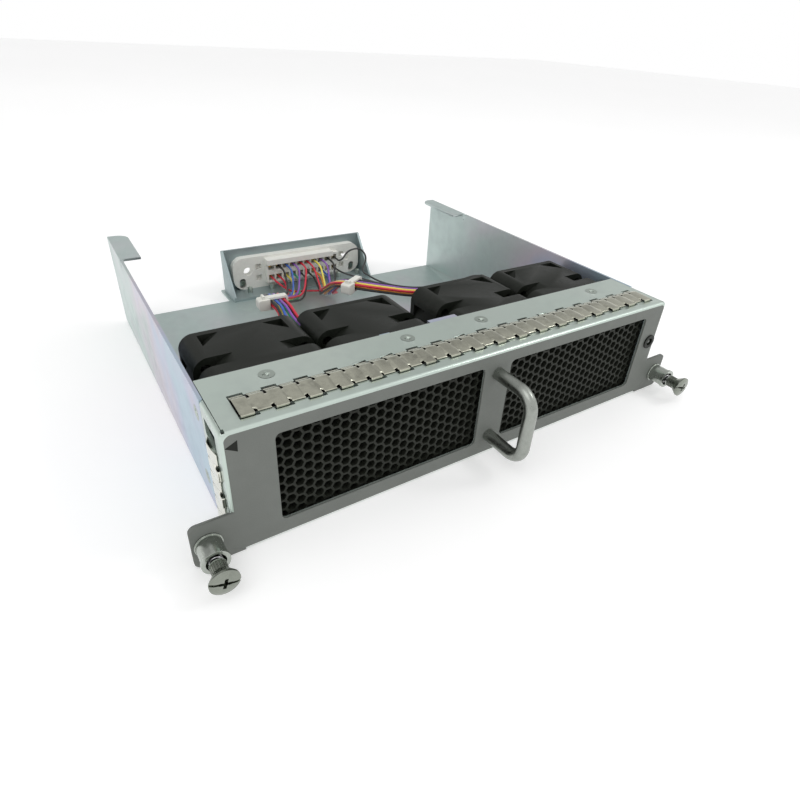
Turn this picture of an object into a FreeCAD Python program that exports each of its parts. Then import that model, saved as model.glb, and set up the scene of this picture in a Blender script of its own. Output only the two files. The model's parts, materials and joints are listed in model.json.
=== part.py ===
import FreeCAD, Part
import math
import os

V = FreeCAD.Vector

# Sizes in millimetres. X runs along the front panel, Y runs back from the panel's front face, Z is up.

# Standard fans set the width and height of the tray
fan_size = 40.0
fan_depth = 28.0
fan_gap = 0.5
fan_centre_gap = 9.4
fan_side_gap = 2.8

# Front panel and tray
sheet = 1.0
bend_radius = 1.3
tray_depth = 163.0
strip_depth = 27.2
flange_depth = 17.0
seam = 0.2
ear_width = 11.5
ear_height = 15.3
ear_corner = 2.2
ear_relief = 1.2
rear_tab_length = 31.5
rear_tab_width = 8.0
rear_tab_corner = 5.0
rear_tab_relief = 1.2
shelf_lip = 2.3
shelf_margin = 1.5

# Windows, honeycomb and its frame
window_width = 71.2
window_bottom = 5.8
window_top_margin = 4.9
window_corner = 1.8
window_side_margin = 14.0
mullion_width = 11.2
vent_frame_wall = 0.6
vent_frame_depth = 8.0
vent_frame_overlap = 2.5
core_setback = 1.2
core_depth = 6.0
cell_pitch = 3.4
cell_wall = 0.75
core_border = 0.3

# Finger gaskets
finger_pitch = 4.7625
finger_depth = 9.6
finger_rise = 1.15
finger_thickness = 0.25
finger_slit = 0.45
finger_slit_depth = 3.7
finger_notch = 0.8
finger_notch_depth = 0.9
top_finger_count = 35
top_gasket_shift = 0.85
side_finger_count = 6
side_gasket_bottom = 4.0
gasket_y = 4.9
hook_drop = 0.8
slot_clearance = 0.25
slot_opening = 1.0
gasket_window_margin = 3.8

# Pull handle
handle_rod = 2.25
handle_reach = 16.9
handle_spacing = 25.4
handle_bottom_z = 8.3
handle_bend = 6.0
handle_thread_depth = 7.0

# Status lamp
lamp_side_margin = 4.4
lamp_z = 25.3
lamp_barrel = 2.5
lamp_flange = 2.95
lamp_flange_thickness = 0.6
lamp_holder_depth = 5.5
lamp_bulb = 1.5
lamp_lead = 0.25
lamp_lead_spacing = 1.6

# Screws of the sheet metal
screw_shank = 1.25
screw_head = 2.6
screw_clearance = 0.15
screw_head_gap = 0.2
screw_length = 5.0
recess_width = 0.55
recess_length = 2.6
recess_depth = 0.7
collar_wall = 1.1
collar_length = 1.6
strip_screw_xs = (-68.7, -20.3, 10.9, 68.7)
strip_screw_setback = 4.7
side_screw_setback = 2.6
side_screw_z = 10.3
side_screw_top_margin = 8.1
floor_screw_xs = (-60.0, -20.0, 20.0, 60.0)
front_floor_screw_y = 12.5
floor_screw_setback = 4.2

# Fan plate and seals
plate_top_flange = 9.7
plate_side_flange = 8.7
plate_bottom_flange = 20.5
seal_thickness = 2.0
air_margin = 0.2
centre_tab_width = 12.0
centre_tab_reach = 3.6
small_tab_x = -24.8
small_tab_width = 4.0

# Fan housings
fan_corner = 5.0
fan_wall = 1.2
fan_corner_wall = 1.4
fan_hole_inset = 4.0
fan_hole = 1.7
fan_front_lobe = 5.0
fan_front_groove = 5.5
fan_rear_flange = 2.4
fan_pocket_length = 7.5
fan_pocket_width = 7.0
fan_pocket_depth = 3.5
fan_corner_line = 5.7
lead_notch_height = 3.8
lead_notch_width = 3.6
lead_notch_depth = 3.6
lead_notch_top_margin = 5.0
fan_screw_shank = 1.65
fan_screw_head = 2.9
fan_screw_head_height = 1.6
fan_screw_bite = 6.0
fan_screw_clearance = 0.25

# Motor and impeller
hub_radius = 9.2
hub_wall = 0.7
hub_front = 3.0
hub_length = 19.0
hub_face = 1.2
hub_boss = 2.2
hub_boss_length = 2.2
blade_count = 5
blade_tip_gap = 0.5
blade_thickness = 0.9
blade_root_sweep = 5.0
blade_tip_sweep = 11.0
blade_margin = 1.0
shaft_radius = 1.0
shaft_running_fit = 0.03
shaft_seat = 0.6
shaft_tail = 1.0
shaft_end_gap = 0.8
bearing_radius = 2.5
bearing_width = 2.3
sleeve_wall = 0.9
sleeve_front = 7.0
front_bearing_y = 7.6
rear_bearing_y = 21.6
magnet_thickness = 0.8
magnet_front = 6.0
magnet_length = 14.0
stator_radius = 7.3
stator_front = 8.0
stator_length = 10.0
pole_count = 4
pole_width = 2.0
pole_shoe = 0.9
pole_gap = 1.6
coil_wall = 1.2
coil_gap = 0.15
base_length = 4.8
base_floor = 2.6
board_thickness = 1.0
board_margin = 0.15
strut_width = 2.0
strut_depth = 3.5

# Captive thumbscrews
thumb_ear_inset = 4.5
thumb_z = 7.6
ferrule_radius = 3.6
ferrule_rim = 3.9
ferrule_rim_length = 1.2
ferrule_collar = 3.95
ferrule_collar_length = 0.5
ferrule_length = 7.2
ferrule_shank = 2.9
ferrule_bore = 2.75
ferrule_web_y = 0.6
ferrule_web = 0.8
ferrule_back_bore = 1.8
thumb_travel = 4.5
thumb_thread = 1.5
thumb_thread_end = 3.6
thumb_thread_gap = 0.1
thumb_run_out = 1.4
thumb_run_out_end = 0.2
thumb_neck = 1.15
thumb_neck_fit = 0.1
thumb_grip = 2.35
thumb_grip_length = 2.6
thumb_head = 4.1
thumb_cone = 2.6
thumb_rim = 0.6
thumb_dome = 0.6
thumb_slot = 0.7
thumb_slot_depth = 0.9
thumb_slot_turn = -17.0
knurl_count = 22
knurl_radius = 0.2
spring_wire = 0.22
spring_radius = 1.75
spring_turns = 5
washer_gap = 0.05
washer_thickness = 0.4

# Connector and its bracket
bracket_x = 4.1
bracket_width = 82.0
bracket_overhang = 12.0
bracket_margin = 4.0
bracket_flange = 16.5
bracket_sheet = 1.2
bracket_screw_offsets = (-30.1, -17.5, 22.9, 35.5)
bracket_screw_setback = 8.5
connector_x = 4.85
connector_z = 11.0
connector_length = 75.6
connector_height = 17.6
connector_flange = 4.0
connector_corner = 6.0
cavity_offset = 1.35
cavity_columns = 10
cavity_pitch = 4.2
cavity_row_pitch = 6.2
cavity_size = 3.3
body_wall = 1.2
body_front_reach = 3.0
body_rear_reach = 15.0
body_clearance = 0.6
hood_height = 2.8
hood_reach = 2.4
guide_offset = 29.65
guide_radius = 2.3
guide_rise = 1.1
slot_offset = 33.0
slot_radius = 1.75
slot_length = 5.8
slot_drop = 5.4
fixing_shank = 1.2
fixing_head = 2.8
fixing_head_height = 1.4
fixing_nut_thickness = 1.4
fixing_nut_setback = 0.9
fixing_nut_play = 0.1
pocket_size = 3.0
pocket_depth = 2.0
pocket_offset = 26.6
contact_radius = 0.95
contact_size = 2.4
contact_crimp = 4.0
contact_length = 13.0
contact_front = 2.0

# Harness: leads, their lanes and their ties
wire_radius = 0.5
arc_share = 0.45
lead_straight = 11.0
lead_exit = 4.5
lead_pitch = 1.6
notch_pitch = 1.6
tie_band = 0.9
tie_width = 2.6
tie_clearance = 0.3
tie_head = 4.2
tie_tail = 1.2
tie_run = 4
lamp_lead_column = 9
lamp_leg = 3.0
lamp_lead_z = 3.9
lamp_lead_rise = 1.8
lamp_lead_clearance = 0.3
lamp_bend = 5.0
lamp_slant = 2.0
lamp_lane_end = 80.0
lamp_floor_points = ((67.0, 113.0), (42.0, 140.0))
lead_colours = (
    ("red", "yellow", "black", "blue"),
    ("green", "black", "purple", "red"),
    ("black", "orange", "red", "yellow"),
    ("blue", "red", "purple", "black"),
)
first_columns = (1, 5)
crossing_lead = (3, 1, 0)
bundle_centres = (
    (
        (-6.4, 170.0, 11.0, 4.2),
        (-6.4, 159.0, 11.0, 4.2),
        (-11.0, 138.0, 8.0, 2.6),
        (-30.0, 112.0, 20.0, 1.8),
        (-44.3, 83.0, 37.2, lead_pitch),
        (-44.7, 67.5, 38.4, lead_pitch),
        (-44.95, 60.0, 36.0, lead_pitch),
    ),
    (
        (10.4, 170.0, 11.0, 4.2),
        (10.4, 159.0, 11.0, 4.2),
        (7.0, 138.0, 8.0, 2.6),
        (-7.0, 112.0, 20.0, 1.8),
        (-13.0, 86.0, 36.2, lead_pitch),
        (-5.0, 73.0, 37.6, lead_pitch),
        (13.0, 65.6, 34.4, lead_pitch),
        (29.0, 64.4, 33.6, lead_pitch),
        (44.95, 64.0, 36.0, lead_pitch),
        (44.95, 57.0, 36.0, lead_pitch),
    ),
)
crossing_points = ((-7.0, 156.0, 3.0), (5.0, 153.5, 2.6), (14.5, 142.0, 4.4))
lamp_loop = ((30.0, 160.5, 19.5), (38.0, 160.0, 20.5), (43.0, 160.0, 13.5), (37.5, 158.0, 7.0))

# Derived sizes and places
panel_width = 4 * fan_size + 2 * fan_gap + fan_centre_gap + 2 * (fan_side_gap + sheet)
panel_height = fan_size + 2 * sheet
half_width = panel_width / 2
wall_in = half_width - sheet
seam_y = flange_depth + seam
top_under = panel_height - sheet
window_top = panel_height - window_top_margin
left_window_x = window_side_margin - half_width
right_window_x = left_window_x + window_width + mullion_width
handle_x = left_window_x + window_width + mullion_width / 2
handle_top_z = handle_bottom_z + handle_spacing
top_gasket_x = top_gasket_shift - top_finger_count * finger_pitch / 2
lamp_x = half_width - lamp_side_margin
plate_y = strip_depth - sheet
strip_screw_y = plate_y - strip_screw_setback
side_screw_y = plate_y - side_screw_setback
side_screw_zs = (side_screw_z, panel_height - side_screw_top_margin)
rear_floor_screw_y = plate_y - floor_screw_setback
fan_front = plate_y + sheet + seal_thickness
fan_back = fan_front + fan_depth
fan_z = sheet + fan_size / 2
fan_edge_x = wall_in - fan_side_gap
fan_xs = [
    -fan_edge_x + fan_size / 2,
    -fan_edge_x + fan_size * 1.5 + fan_gap,
    fan_edge_x - fan_size * 1.5 - fan_gap,
    fan_edge_x - fan_size / 2,
]
fan_bore = fan_size / 2 - fan_wall
fan_housing = fan_size / 2 + fan_corner_wall
fan_mount_spacing = fan_size - 2 * fan_hole_inset
air_radius = fan_bore - air_margin
lead_notch_z = sheet + fan_size - lead_notch_top_margin
blade_tip = fan_bore - blade_tip_gap
sleeve_radius = bearing_radius + sleeve_wall
lamp_lane_x = (fan_edge_x + wall_in - sheet) / 2
hub_back = hub_front + hub_length
base_front = fan_depth - base_length
shaft_front = hub_front + shaft_seat
shaft_back = rear_bearing_y + bearing_width + shaft_tail
thumb_x = half_width + ear_width - thumb_ear_inset
bracket_left = bracket_x - bracket_width / 2
bracket_right = bracket_x + bracket_width / 2
bracket_y = tray_depth + bracket_overhang
bracket_back = bracket_y + bracket_sheet
bracket_top = connector_z + connector_height / 2 + bracket_margin
bracket_screw_y = bracket_y - bracket_screw_setback
shelf_end = bracket_back + shelf_lip
cavity_centre_x = connector_x + cavity_offset
flange_front_y = bracket_y - connector_flange
body_front_y = flange_front_y - body_front_reach
front_reach = handle_reach + handle_rod
back_reach = bracket_back + body_rear_reach
middle_y = (back_reach - front_reach) / 2


def box(x0, x1, y0, y1, z0, z1):
    return Part.makeBox(x1 - x0, y1 - y0, z1 - z0, V(x0, y0, z0))


def side_box(side, inner, outer, y0, y1, z0, z1):
    """A box between two distances from the middle, on the left (-1) or the right (1)."""
    x0, x1 = sorted((side * inner, side * outer))
    return box(x0, x1, y0, y1, z0, z1)


def rod(radius, start, end):
    start, end = V(*start), V(*end)
    axis = end.sub(start)
    return Part.makeCylinder(radius, axis.Length, start, axis)


def ring(outer, inner, start, end):
    return rod(outer, start, end).cut(rod(inner, start, end))


def cone(radius0, radius1, start, end):
    start, end = V(*start), V(*end)
    axis = end.sub(start)
    return Part.makeCone(radius0, radius1, axis.Length, start, axis)


def joined(shapes):
    return shapes[0].multiFuse(shapes[1:]).removeSplitter()


def prism_x(points, x0, x1):
    """Extrudes a closed outline of (y, z) points along X."""
    corners = [V(x0, y, z) for y, z in points]
    face = Part.Face(Part.makePolygon(corners + corners[:1]))
    return face.extrude(V(x1 - x0, 0, 0))


def prism_z(points, z0, z1):
    """Extrudes a closed outline of (x, y) points along Z."""
    corners = [V(x, y, z0) for x, y in points]
    face = Part.Face(Part.makePolygon(corners + corners[:1]))
    return face.extrude(V(0, 0, z1 - z0))


def turned(points, x=0.0, z=0.0):
    """Turns an outline of (y, radius) points about the line along Y through x and z."""
    corners = [V(x + radius, y, z) for y, radius in points]
    face = Part.Face(Part.makePolygon(corners + corners[:1]))
    return face.revolve(V(x, 0, z), V(0, 1, 0), 360)


def rounded(shape, radius, axis, where):
    """Rounds the straight edges along an axis whose middle passes the test."""
    axis = V(*axis)
    edges = []
    for edge in shape.Edges:
        if edge.Curve.TypeId != "Part::GeomLine":
            continue
        if abs(edge.tangentAt(edge.FirstParameter).dot(axis)) > 0.999 and where(edge.CenterOfMass):
            edges.append(edge)
    return shape.makeFillet(radius, edges)


def save(node, shapes):
    """Writes one node. The origin is under the middle of the whole part, on the surface it stands on."""
    shape = Part.makeCompound(shapes) if isinstance(shapes, list) else shapes
    shape = shape.copy()
    shape.translate(V(0, -middle_y, 0))
    shape.exportStep("parts/" + node + ".step")


def cross_recess(place, out, depth=recess_depth, length=recess_length, width=recess_width):
    """A cross cut into a head. out points out of the head."""
    place, out = V(*place), V(*out)
    half = length / 2
    bars = []
    for a, b in ((half, width / 2), (width / 2, half)):
        bars.append(box(-a, a, -b, b, -depth, depth))
    cross = joined(bars)
    cross.Placement = FreeCAD.Placement(place, FreeCAD.Rotation(V(0, 0, 1), out))
    return cross


def countersunk_screw(place, out):
    """A countersunk screw whose flush face is at place. out points out of the head."""
    start, out = V(*place), V(*out)
    seat = start.sub(out * sheet)
    tip = start.sub(out * screw_length)
    head = cone(screw_head - screw_head_gap, screw_shank, start, seat)
    shank = rod(screw_shank, start, tip)
    return joined([head, shank]).cut(cross_recess(place, out))


def countersink(place, out):
    """The hole for a countersunk screw in one sheet."""
    start, out = V(*place), V(*out)
    seat = start.sub(out * sheet)
    mouth = start + out * sheet
    sink = cone(screw_head, screw_shank, start, seat)
    through = rod(screw_shank, mouth, start.sub(out * sheet * 1.5))
    return joined([sink, through, rod(screw_head, start, mouth)])


def strip_screw_places():
    return [(x, strip_screw_y, panel_height) for x in strip_screw_xs]


def side_screw_places(side):
    return [(side * half_width, side_screw_y, z) for z in side_screw_zs]


def floor_screw_places():
    return [(x, y, 0) for y in (front_floor_screw_y, rear_floor_screw_y) for x in floor_screw_xs]


def bracket_screw_places():
    return [(bracket_x + offset, bracket_screw_y, 0) for offset in bracket_screw_offsets]


def tray_pan():
    """Floor, two side walls with bent tabs at the rear, and the shelf under the connector bracket."""
    pieces = [box(-half_width, half_width, seam_y, tray_depth, 0, sheet)]
    shelf_left = bracket_left - shelf_margin
    shelf_right = bracket_right + shelf_margin
    pieces.append(box(shelf_left, shelf_right, tray_depth - sheet, shelf_end, 0, sheet))
    tab_front = tray_depth - rear_tab_length
    for side in (-1, 1):
        pieces.append(side_box(side, wall_in, half_width, seam_y, tray_depth, 0, panel_height))
        tab_in = half_width - rear_tab_width
        pieces.append(side_box(side, tab_in, half_width, tab_front, tray_depth, top_under, panel_height))
    pan = joined(pieces)
    pan = rounded(pan, bend_radius, (0, 1, 0), lambda p: abs(p.x) > half_width - 0.01 and p.z < 0.01)
    pan = rounded(pan, rear_tab_corner, (0, 0, 1), lambda p: abs(p.x) < half_width - rear_tab_width + 0.01
                  and p.z > top_under and p.y > tray_depth - 0.01)
    cuts = []
    for side in (-1, 1):
        relief_front = tab_front - rear_tab_relief
        cuts.append(side_box(side, wall_in - sheet, half_width + sheet, relief_front, tab_front,
                             panel_height - 2 * sheet - rear_tab_relief, panel_height + sheet))
        cuts += [countersink(place, (side, 0, 0)) for place in side_screw_places(side)]
    cuts += [countersink((x, y, 0), (0, 0, -1)) for x, y, z in floor_screw_places() if y > seam_y]
    cuts += [countersink(place, (0, 0, -1)) for place in bracket_screw_places()]
    return pan.cut(cuts)


def finger_outline():
    """The closed outline of one gasket finger across its width, as an arch with feet on the panel."""
    rise, depth, skin = finger_rise, finger_depth, finger_thickness
    top = [(depth, 0), (depth - 0.65, rise * 0.72), (depth - 2.0, rise)]
    crown = [top[-1], (depth * 0.44, rise * 0.91), (0.8, rise * 0.52)]
    under_crown = [(0.9, rise * 0.52 - skin), (depth * 0.44, rise * 0.91 - skin), (depth - 2.1, rise - skin)]
    under_heel = [under_crown[-1], (depth - 0.65 - skin, rise * 0.72 - skin), (depth - skin, 0)]
    points = [[V(0, y, z) for y, z in stretch] for stretch in (top, crown, under_crown, under_heel)]
    toe = [V(0, 0, skin / 2), V(0, 0, 0), V(0, skin, 0)]
    edges = [Part.Arc(*points[0]).toShape(), Part.Arc(*points[1]).toShape()]
    edges.append(Part.makePolygon([points[1][-1]] + toe + [points[2][0]]))
    edges += [Part.Arc(*points[2]).toShape(), Part.Arc(*points[3]).toShape()]
    edges.append(Part.makePolygon([points[3][-1], points[0][0]]))
    loose = []
    for edge in edges:
        loose += edge.Edges
    return Part.Face(Part.Wire(Part.__sortEdges__(loose)))


def finger_gasket(count):
    """A strip of spring fingers along +X from the origin, standing on the plane z = 0."""
    length = count * finger_pitch
    strip = finger_outline().extrude(V(length, 0, 0))
    cuts = []
    for k in range(1, count):
        x = k * finger_pitch
        slit_end = finger_depth - finger_slit_depth
        cuts.append(box(x - finger_slit / 2, x + finger_slit / 2, slit_end, finger_depth + 1, -1, 3))
        cuts.append(box(x - finger_notch / 2, x + finger_notch / 2, -1, finger_notch_depth, -1, 3))
    strip = strip.cut(cuts)
    hooks = []
    lip = [(0.3, 0.5), (-0.7, 0.3), (-0.95, -hook_drop), (-0.7, -hook_drop), (-0.45, 0.05), (0.3, 0.2)]
    for k in range(0, count, 2):
        x0 = k * finger_pitch + finger_notch / 2
        x1 = (k + 1) * finger_pitch - finger_notch / 2
        hooks.append(prism_x(lip, x0, x1))
        hooks.append(box(x0, x1, finger_depth - finger_thickness, finger_depth, -hook_drop, finger_thickness))
    return joined([strip] + hooks)


def gasket_slots(count):
    """The openings that the hooks of a finger strip pass through, in the strip's own frame."""
    slots = []
    for k in range(0, count, 2):
        x0 = k * finger_pitch + finger_notch / 2 - slot_clearance
        x1 = (k + 1) * finger_pitch - finger_notch / 2 + slot_clearance
        heel = finger_depth - finger_thickness - slot_clearance
        slots.append(box(x0, x1, heel, finger_depth + slot_opening, -2, 1))
        slots.append(box(x0, x1 + slot_opening, -1.2, slot_clearance / 2, -2, 1))
    return slots


def place_top(shape):
    shape = shape.copy()
    shape.translate(V(top_gasket_x, gasket_y, panel_height))
    return shape


def place_side(side, shape):
    """Turns a strip upright against the left (-1) or right (1) flange."""
    shape = shape.copy()
    shape.rotate(V(0, 0, 0), V(0, 1, 0), side * 90)
    length = side_finger_count * finger_pitch
    z = side_gasket_bottom if side < 0 else side_gasket_bottom + length
    shape.translate(V(side * half_width, gasket_y, z))
    return shape


def window(x):
    """The air opening in the panel, with rounded corners."""
    opening = box(x, x + window_width, -1, 2 * sheet, window_bottom, window_top)
    return rounded(opening, window_corner, (0, 1, 0), lambda p: True)


def front_bezel():
    """The folded front: face, top strip, side and bottom flanges, and the two ears."""
    outer = box(-half_width, half_width, 0, strip_depth, 0, panel_height)
    outer = rounded(outer, bend_radius, (1, 0, 0), lambda p: p.y < 0.01)
    outer = rounded(outer, bend_radius, (0, 0, 1), lambda p: p.y < bend_radius + 0.01)
    inner = box(-wall_in, wall_in, sheet, strip_depth + 1, sheet, top_under)
    cuts = [inner, box(-half_width - 1, half_width + 1, flange_depth, strip_depth + 1, -1, top_under)]
    for side in (-1, 1):
        cuts.append(side_box(side, wall_in - seam, half_width + 1, flange_depth, strip_depth + 1,
                             top_under - seam, panel_height + 1))
        cuts.append(side_box(side, wall_in - seam, wall_in, bend_radius, strip_depth + 1,
                             top_under - seam, panel_height + 1))
        corner_in = wall_in - seam - sheet / 2
        cuts.append(side_box(side, corner_in, wall_in + seam, sheet / 2, 2 * sheet, top_under - seam,
                             panel_height + 1))
        cuts.append(side_box(side, wall_in - seam, half_width + 1, sheet, sheet + ear_relief, -1,
                             ear_height + ear_relief))
        top = side_gasket_bottom + side_finger_count * finger_pitch
        cuts.append(side_box(side, wall_in - 1, half_width + 1, gasket_y, gasket_y + finger_depth,
                             top + slot_clearance, panel_height - gasket_window_margin))
        cuts += [place_side(side, slot) for slot in gasket_slots(side_finger_count)]
    shell = outer.cut(cuts)
    ears = []
    for side in (-1, 1):
        ear_out = half_width + ear_width
        ear = side_box(side, half_width - 2 * bend_radius, ear_out, 0, sheet, 0, ear_height)
        ears.append(rounded(ear, ear_corner, (0, 1, 0), lambda p: abs(p.x) > ear_out - 0.01))
    bezel = joined([shell] + ears)
    holes = [window(left_window_x), window(right_window_x)]
    for z in (handle_bottom_z, handle_top_z):
        holes.append(rod(screw_shank + screw_clearance, (handle_x, -1, z), (handle_x, 2 * sheet, z)))
    holes.append(rod(lamp_barrel, (lamp_x, -1, lamp_z), (lamp_x, 2 * sheet, lamp_z)))
    for side in (-1, 1):
        x = side * thumb_x
        holes.append(rod(ferrule_shank, (x, -1, thumb_z), (x, 2 * sheet, thumb_z)))
    holes += [place_top(slot) for slot in gasket_slots(top_finger_count)]
    holes += [countersink(place, (0, 0, 1)) for place in strip_screw_places()]
    holes += [countersink((x, y, 0), (0, 0, -1)) for x, y, z in floor_screw_places() if y < flange_depth]
    return bezel.cut(holes)


def vent_frame(window_x):
    """The shallow frame that holds the honeycomb behind a window."""
    lap = vent_frame_overlap
    outer = box(window_x - lap, window_x + window_width + lap, sheet, sheet + vent_frame_depth,
                window_bottom - lap, window_top + lap)
    lap -= vent_frame_wall
    inner = box(window_x - lap, window_x + window_width + lap, 0, sheet + vent_frame_depth + 1,
                window_bottom - lap, window_top + lap)
    return outer.cut(inner)


def vent_core(window_x):
    """A block of six-sided cells with flat tops, clipped to a thin border."""
    lap = vent_frame_overlap - vent_frame_wall
    front = sheet + core_setback
    x0, x1 = window_x - lap, window_x + window_width + lap
    z0, z1 = window_bottom - lap, window_top + lap
    block = box(x0, x1, front, front + core_depth, z0, z1)
    radius = (cell_pitch - cell_wall) / math.sqrt(3)
    column_pitch = cell_pitch * math.sqrt(3) / 2
    corners = [(radius * math.cos(math.radians(60 * k)), radius * math.sin(math.radians(60 * k)))
               for k in range(7)]
    cells = []
    columns = int((x1 - x0) / column_pitch) + 2
    rows = int((z1 - z0) / cell_pitch) + 2
    for column in range(columns):
        for row in range(rows):
            x = x0 + column * column_pitch
            z = z0 + row * cell_pitch + (column % 2) * cell_pitch / 2
            outline = [V(x + a, front - 1, z + b) for a, b in corners]
            cells.append(Part.Face(Part.makePolygon(outline)).extrude(V(0, core_depth + 2, 0)))
    inside = box(x0 + core_border, x1 - core_border, front - 2, front + core_depth + 2,
                 z0 + core_border, z1 - core_border)
    return block.cut(Part.makeCompound(cells).common(inside))


def pull_handle():
    """A round rod bent into a U, with a tapped hole in each end."""
    reach, bend = handle_reach, handle_bend
    low, high = handle_bottom_z, handle_top_z
    pieces = [rod(handle_rod, (handle_x, -reach, low + bend), (handle_x, -reach, high - bend))]
    for z, inward in ((low, 1), (high, -1)):
        pieces.append(rod(handle_rod, (handle_x, 0, z), (handle_x, bend - reach, z)))
        ring_centre = V(handle_x, bend - reach, z + inward * bend)
        section = Part.Face(Part.Wire(Part.makeCircle(handle_rod, V(handle_x, bend - reach, z), V(0, 1, 0))))
        pieces.append(section.revolve(ring_centre, V(-inward, 0, 0), 90))
    handle = joined(pieces)
    holes = [rod(screw_shank, (handle_x, 1, z), (handle_x, -handle_thread_depth, z)) for z in (low, high)]
    return handle.cut(holes)


def handle_screws():
    screws = []
    for z in (handle_bottom_z, handle_top_z):
        head = rod(screw_head, (handle_x, sheet, z), (handle_x, sheet + screw_head / 2, z))
        shank = rod(screw_shank, (handle_x, sheet, z), (handle_x, 1 - handle_thread_depth, z))
        place = (handle_x, sheet + screw_head / 2, z)
        screws.append(joined([head, shank]).cut(cross_recess(place, (0, 1, 0))))
    return screws


def lamp_holder():
    """The black snap-in holder around the lamp."""
    flange = rod(lamp_flange, (lamp_x, -lamp_flange_thickness, lamp_z), (lamp_x, 0, lamp_z))
    barrel = rod(lamp_barrel, (lamp_x, 0, lamp_z), (lamp_x, lamp_holder_depth, lamp_z))
    bore = rod(lamp_bulb, (lamp_x, -1, lamp_z), (lamp_x, lamp_holder_depth + 1, lamp_z))
    return joined([flange, barrel]).cut(bore)


def status_lamp():
    """The lamp itself: a domed body with its two legs."""
    dome = Part.makeSphere(lamp_bulb, V(lamp_x, lamp_bulb - lamp_flange_thickness / 2, lamp_z))
    body = rod(lamp_bulb, (lamp_x, lamp_bulb, lamp_z), (lamp_x, lamp_holder_depth, lamp_z))
    pieces = [dome, body]
    leg_end = lamp_holder_depth + lamp_leg
    for side in (-1, 1):
        x = lamp_x + side * lamp_lead_spacing / 2
        pieces.append(rod(lamp_lead, (x, lamp_holder_depth - 1, lamp_z), (x, leg_end, lamp_z)))
    return joined(pieces)


def fan_screw_places():
    half = fan_mount_spacing / 2
    return [(x + dx, fan_z + dz) for x in fan_xs for dx in (-half, half) for dz in (-half, half)]


def fan_plate():
    """The upright plate that the fans are screwed to, with four flanges folded forward."""
    back = plate_y + sheet
    pieces = [box(-wall_in, wall_in, plate_y, back, sheet, top_under)]
    pieces.append(box(-wall_in + sheet, wall_in - sheet, back - plate_top_flange, back,
                      top_under - sheet, top_under))
    pieces.append(box(-wall_in + sheet, wall_in - sheet, back - plate_bottom_flange, back, sheet, 2 * sheet))
    for side in (-1, 1):
        pieces.append(side_box(side, wall_in - sheet, wall_in, back - plate_side_flange, back,
                               3 * sheet, top_under - 2 * sheet))
    collar = screw_shank + collar_wall
    reach = sheet + collar_length
    for x, y, z in strip_screw_places():
        pieces.append(rod(collar, (x, y, top_under), (x, y, top_under - reach)))
    for x, y, z in floor_screw_places():
        pieces.append(rod(collar, (x, y, sheet), (x, y, sheet + reach)))
    for side in (-1, 1):
        for x, y, z in side_screw_places(side):
            pieces.append(rod(collar, (side * wall_in, y, z), (side * (wall_in - reach), y, z)))
    middle = (fan_xs[1] + fan_xs[2]) / 2
    pieces.append(box(middle - centre_tab_width / 2, middle + centre_tab_width / 2, plate_y,
                      back + centre_tab_reach, top_under - sheet, top_under))
    small = small_tab_x
    pieces.append(box(small - small_tab_width / 2, small + small_tab_width / 2, plate_y,
                      back + seal_thickness, top_under - sheet, top_under))
    plate = joined(pieces)
    holes = [rod(air_radius, (x, plate_y - 1, fan_z), (x, back + 1, fan_z)) for x in fan_xs]
    reach = fan_screw_shank + fan_screw_clearance
    holes += [rod(reach, (x, plate_y - 1, z), (x, back + 1, z)) for x, z in fan_screw_places()]
    reach = wire_radius + lamp_lead_clearance
    holes.append(box(lamp_lane_x - reach, lamp_lane_x + reach, plate_y - 1, back + 1,
                     lamp_lead_z - reach, lamp_lead_z + lamp_lead_rise + reach))
    length = screw_length + 1
    holes += [rod(screw_shank, (x, y, z), (x, y, z - length)) for x, y, z in strip_screw_places()]
    holes += [rod(screw_shank, (x, y, z), (x, y, z + length)) for x, y, z in floor_screw_places()]
    for side in (-1, 1):
        holes += [rod(screw_shank, (x, y, z), (x - side * length, y, z)) for x, y, z in side_screw_places(side)]
    return plate.cut(holes)


def foam_seals():
    """One soft seal for each pair of fans, between the plate and the fan flanges."""
    seals = []
    front = plate_y + sheet
    for first in (0, 2):
        x0 = fan_xs[first] - fan_size / 2
        x1 = fan_xs[first + 1] + fan_size / 2
        pad = box(x0, x1, front, front + seal_thickness, sheet, top_under)
        holes = [rod(air_radius, (x, front - 1, fan_z), (x, fan_front + 1, fan_z))
                 for x in fan_xs[first:first + 2]]
        reach = fan_screw_shank + fan_screw_clearance
        holes += [rod(reach, (x, front - 1, z), (x, fan_front + 1, z))
                  for x, z in fan_screw_places() if x0 < x < x1]
        small = small_tab_x
        holes.append(box(small - small_tab_width / 2, small + small_tab_width / 2, front - 1, fan_front + 1,
                         top_under - sheet, panel_height))
        middle = (fan_xs[1] + fan_xs[2]) / 2
        holes.append(box(middle - centre_tab_width / 2, middle + centre_tab_width / 2, front - 1,
                         fan_front + 1, top_under - sheet, panel_height))
        seals.append(pad.cut(holes))
    return seals


def fan_screws():
    screws = []
    for x, z in fan_screw_places():
        head = rod(fan_screw_head, (x, plate_y - fan_screw_head_height, z), (x, plate_y, z))
        shank = rod(fan_screw_shank, (x, plate_y - 1, z), (x, fan_front + fan_screw_bite, z))
        place = (x, plate_y - fan_screw_head_height, z)
        screws.append(joined([head, shank]).cut(cross_recess(place, (0, -1, 0))))
    return screws


def corner_pocket(turn):
    """The three-sided pocket near the rear flange, cut into the top face and turned to another side."""
    half = fan_size / 2
    rear = fan_depth - fan_rear_flange
    line = half - fan_corner_line
    pockets = []
    for side in (-1, 1):
        outline = [(side * line, rear), (side * (line - fan_pocket_width), rear),
                   (side * line, rear - fan_pocket_length)]
        pockets.append(prism_z(outline, half - fan_pocket_depth, half + 1))
    shape = Part.makeCompound(pockets)
    shape.rotate(V(0, 0, 0), V(0, 1, 0), turn)
    return shape


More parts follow.
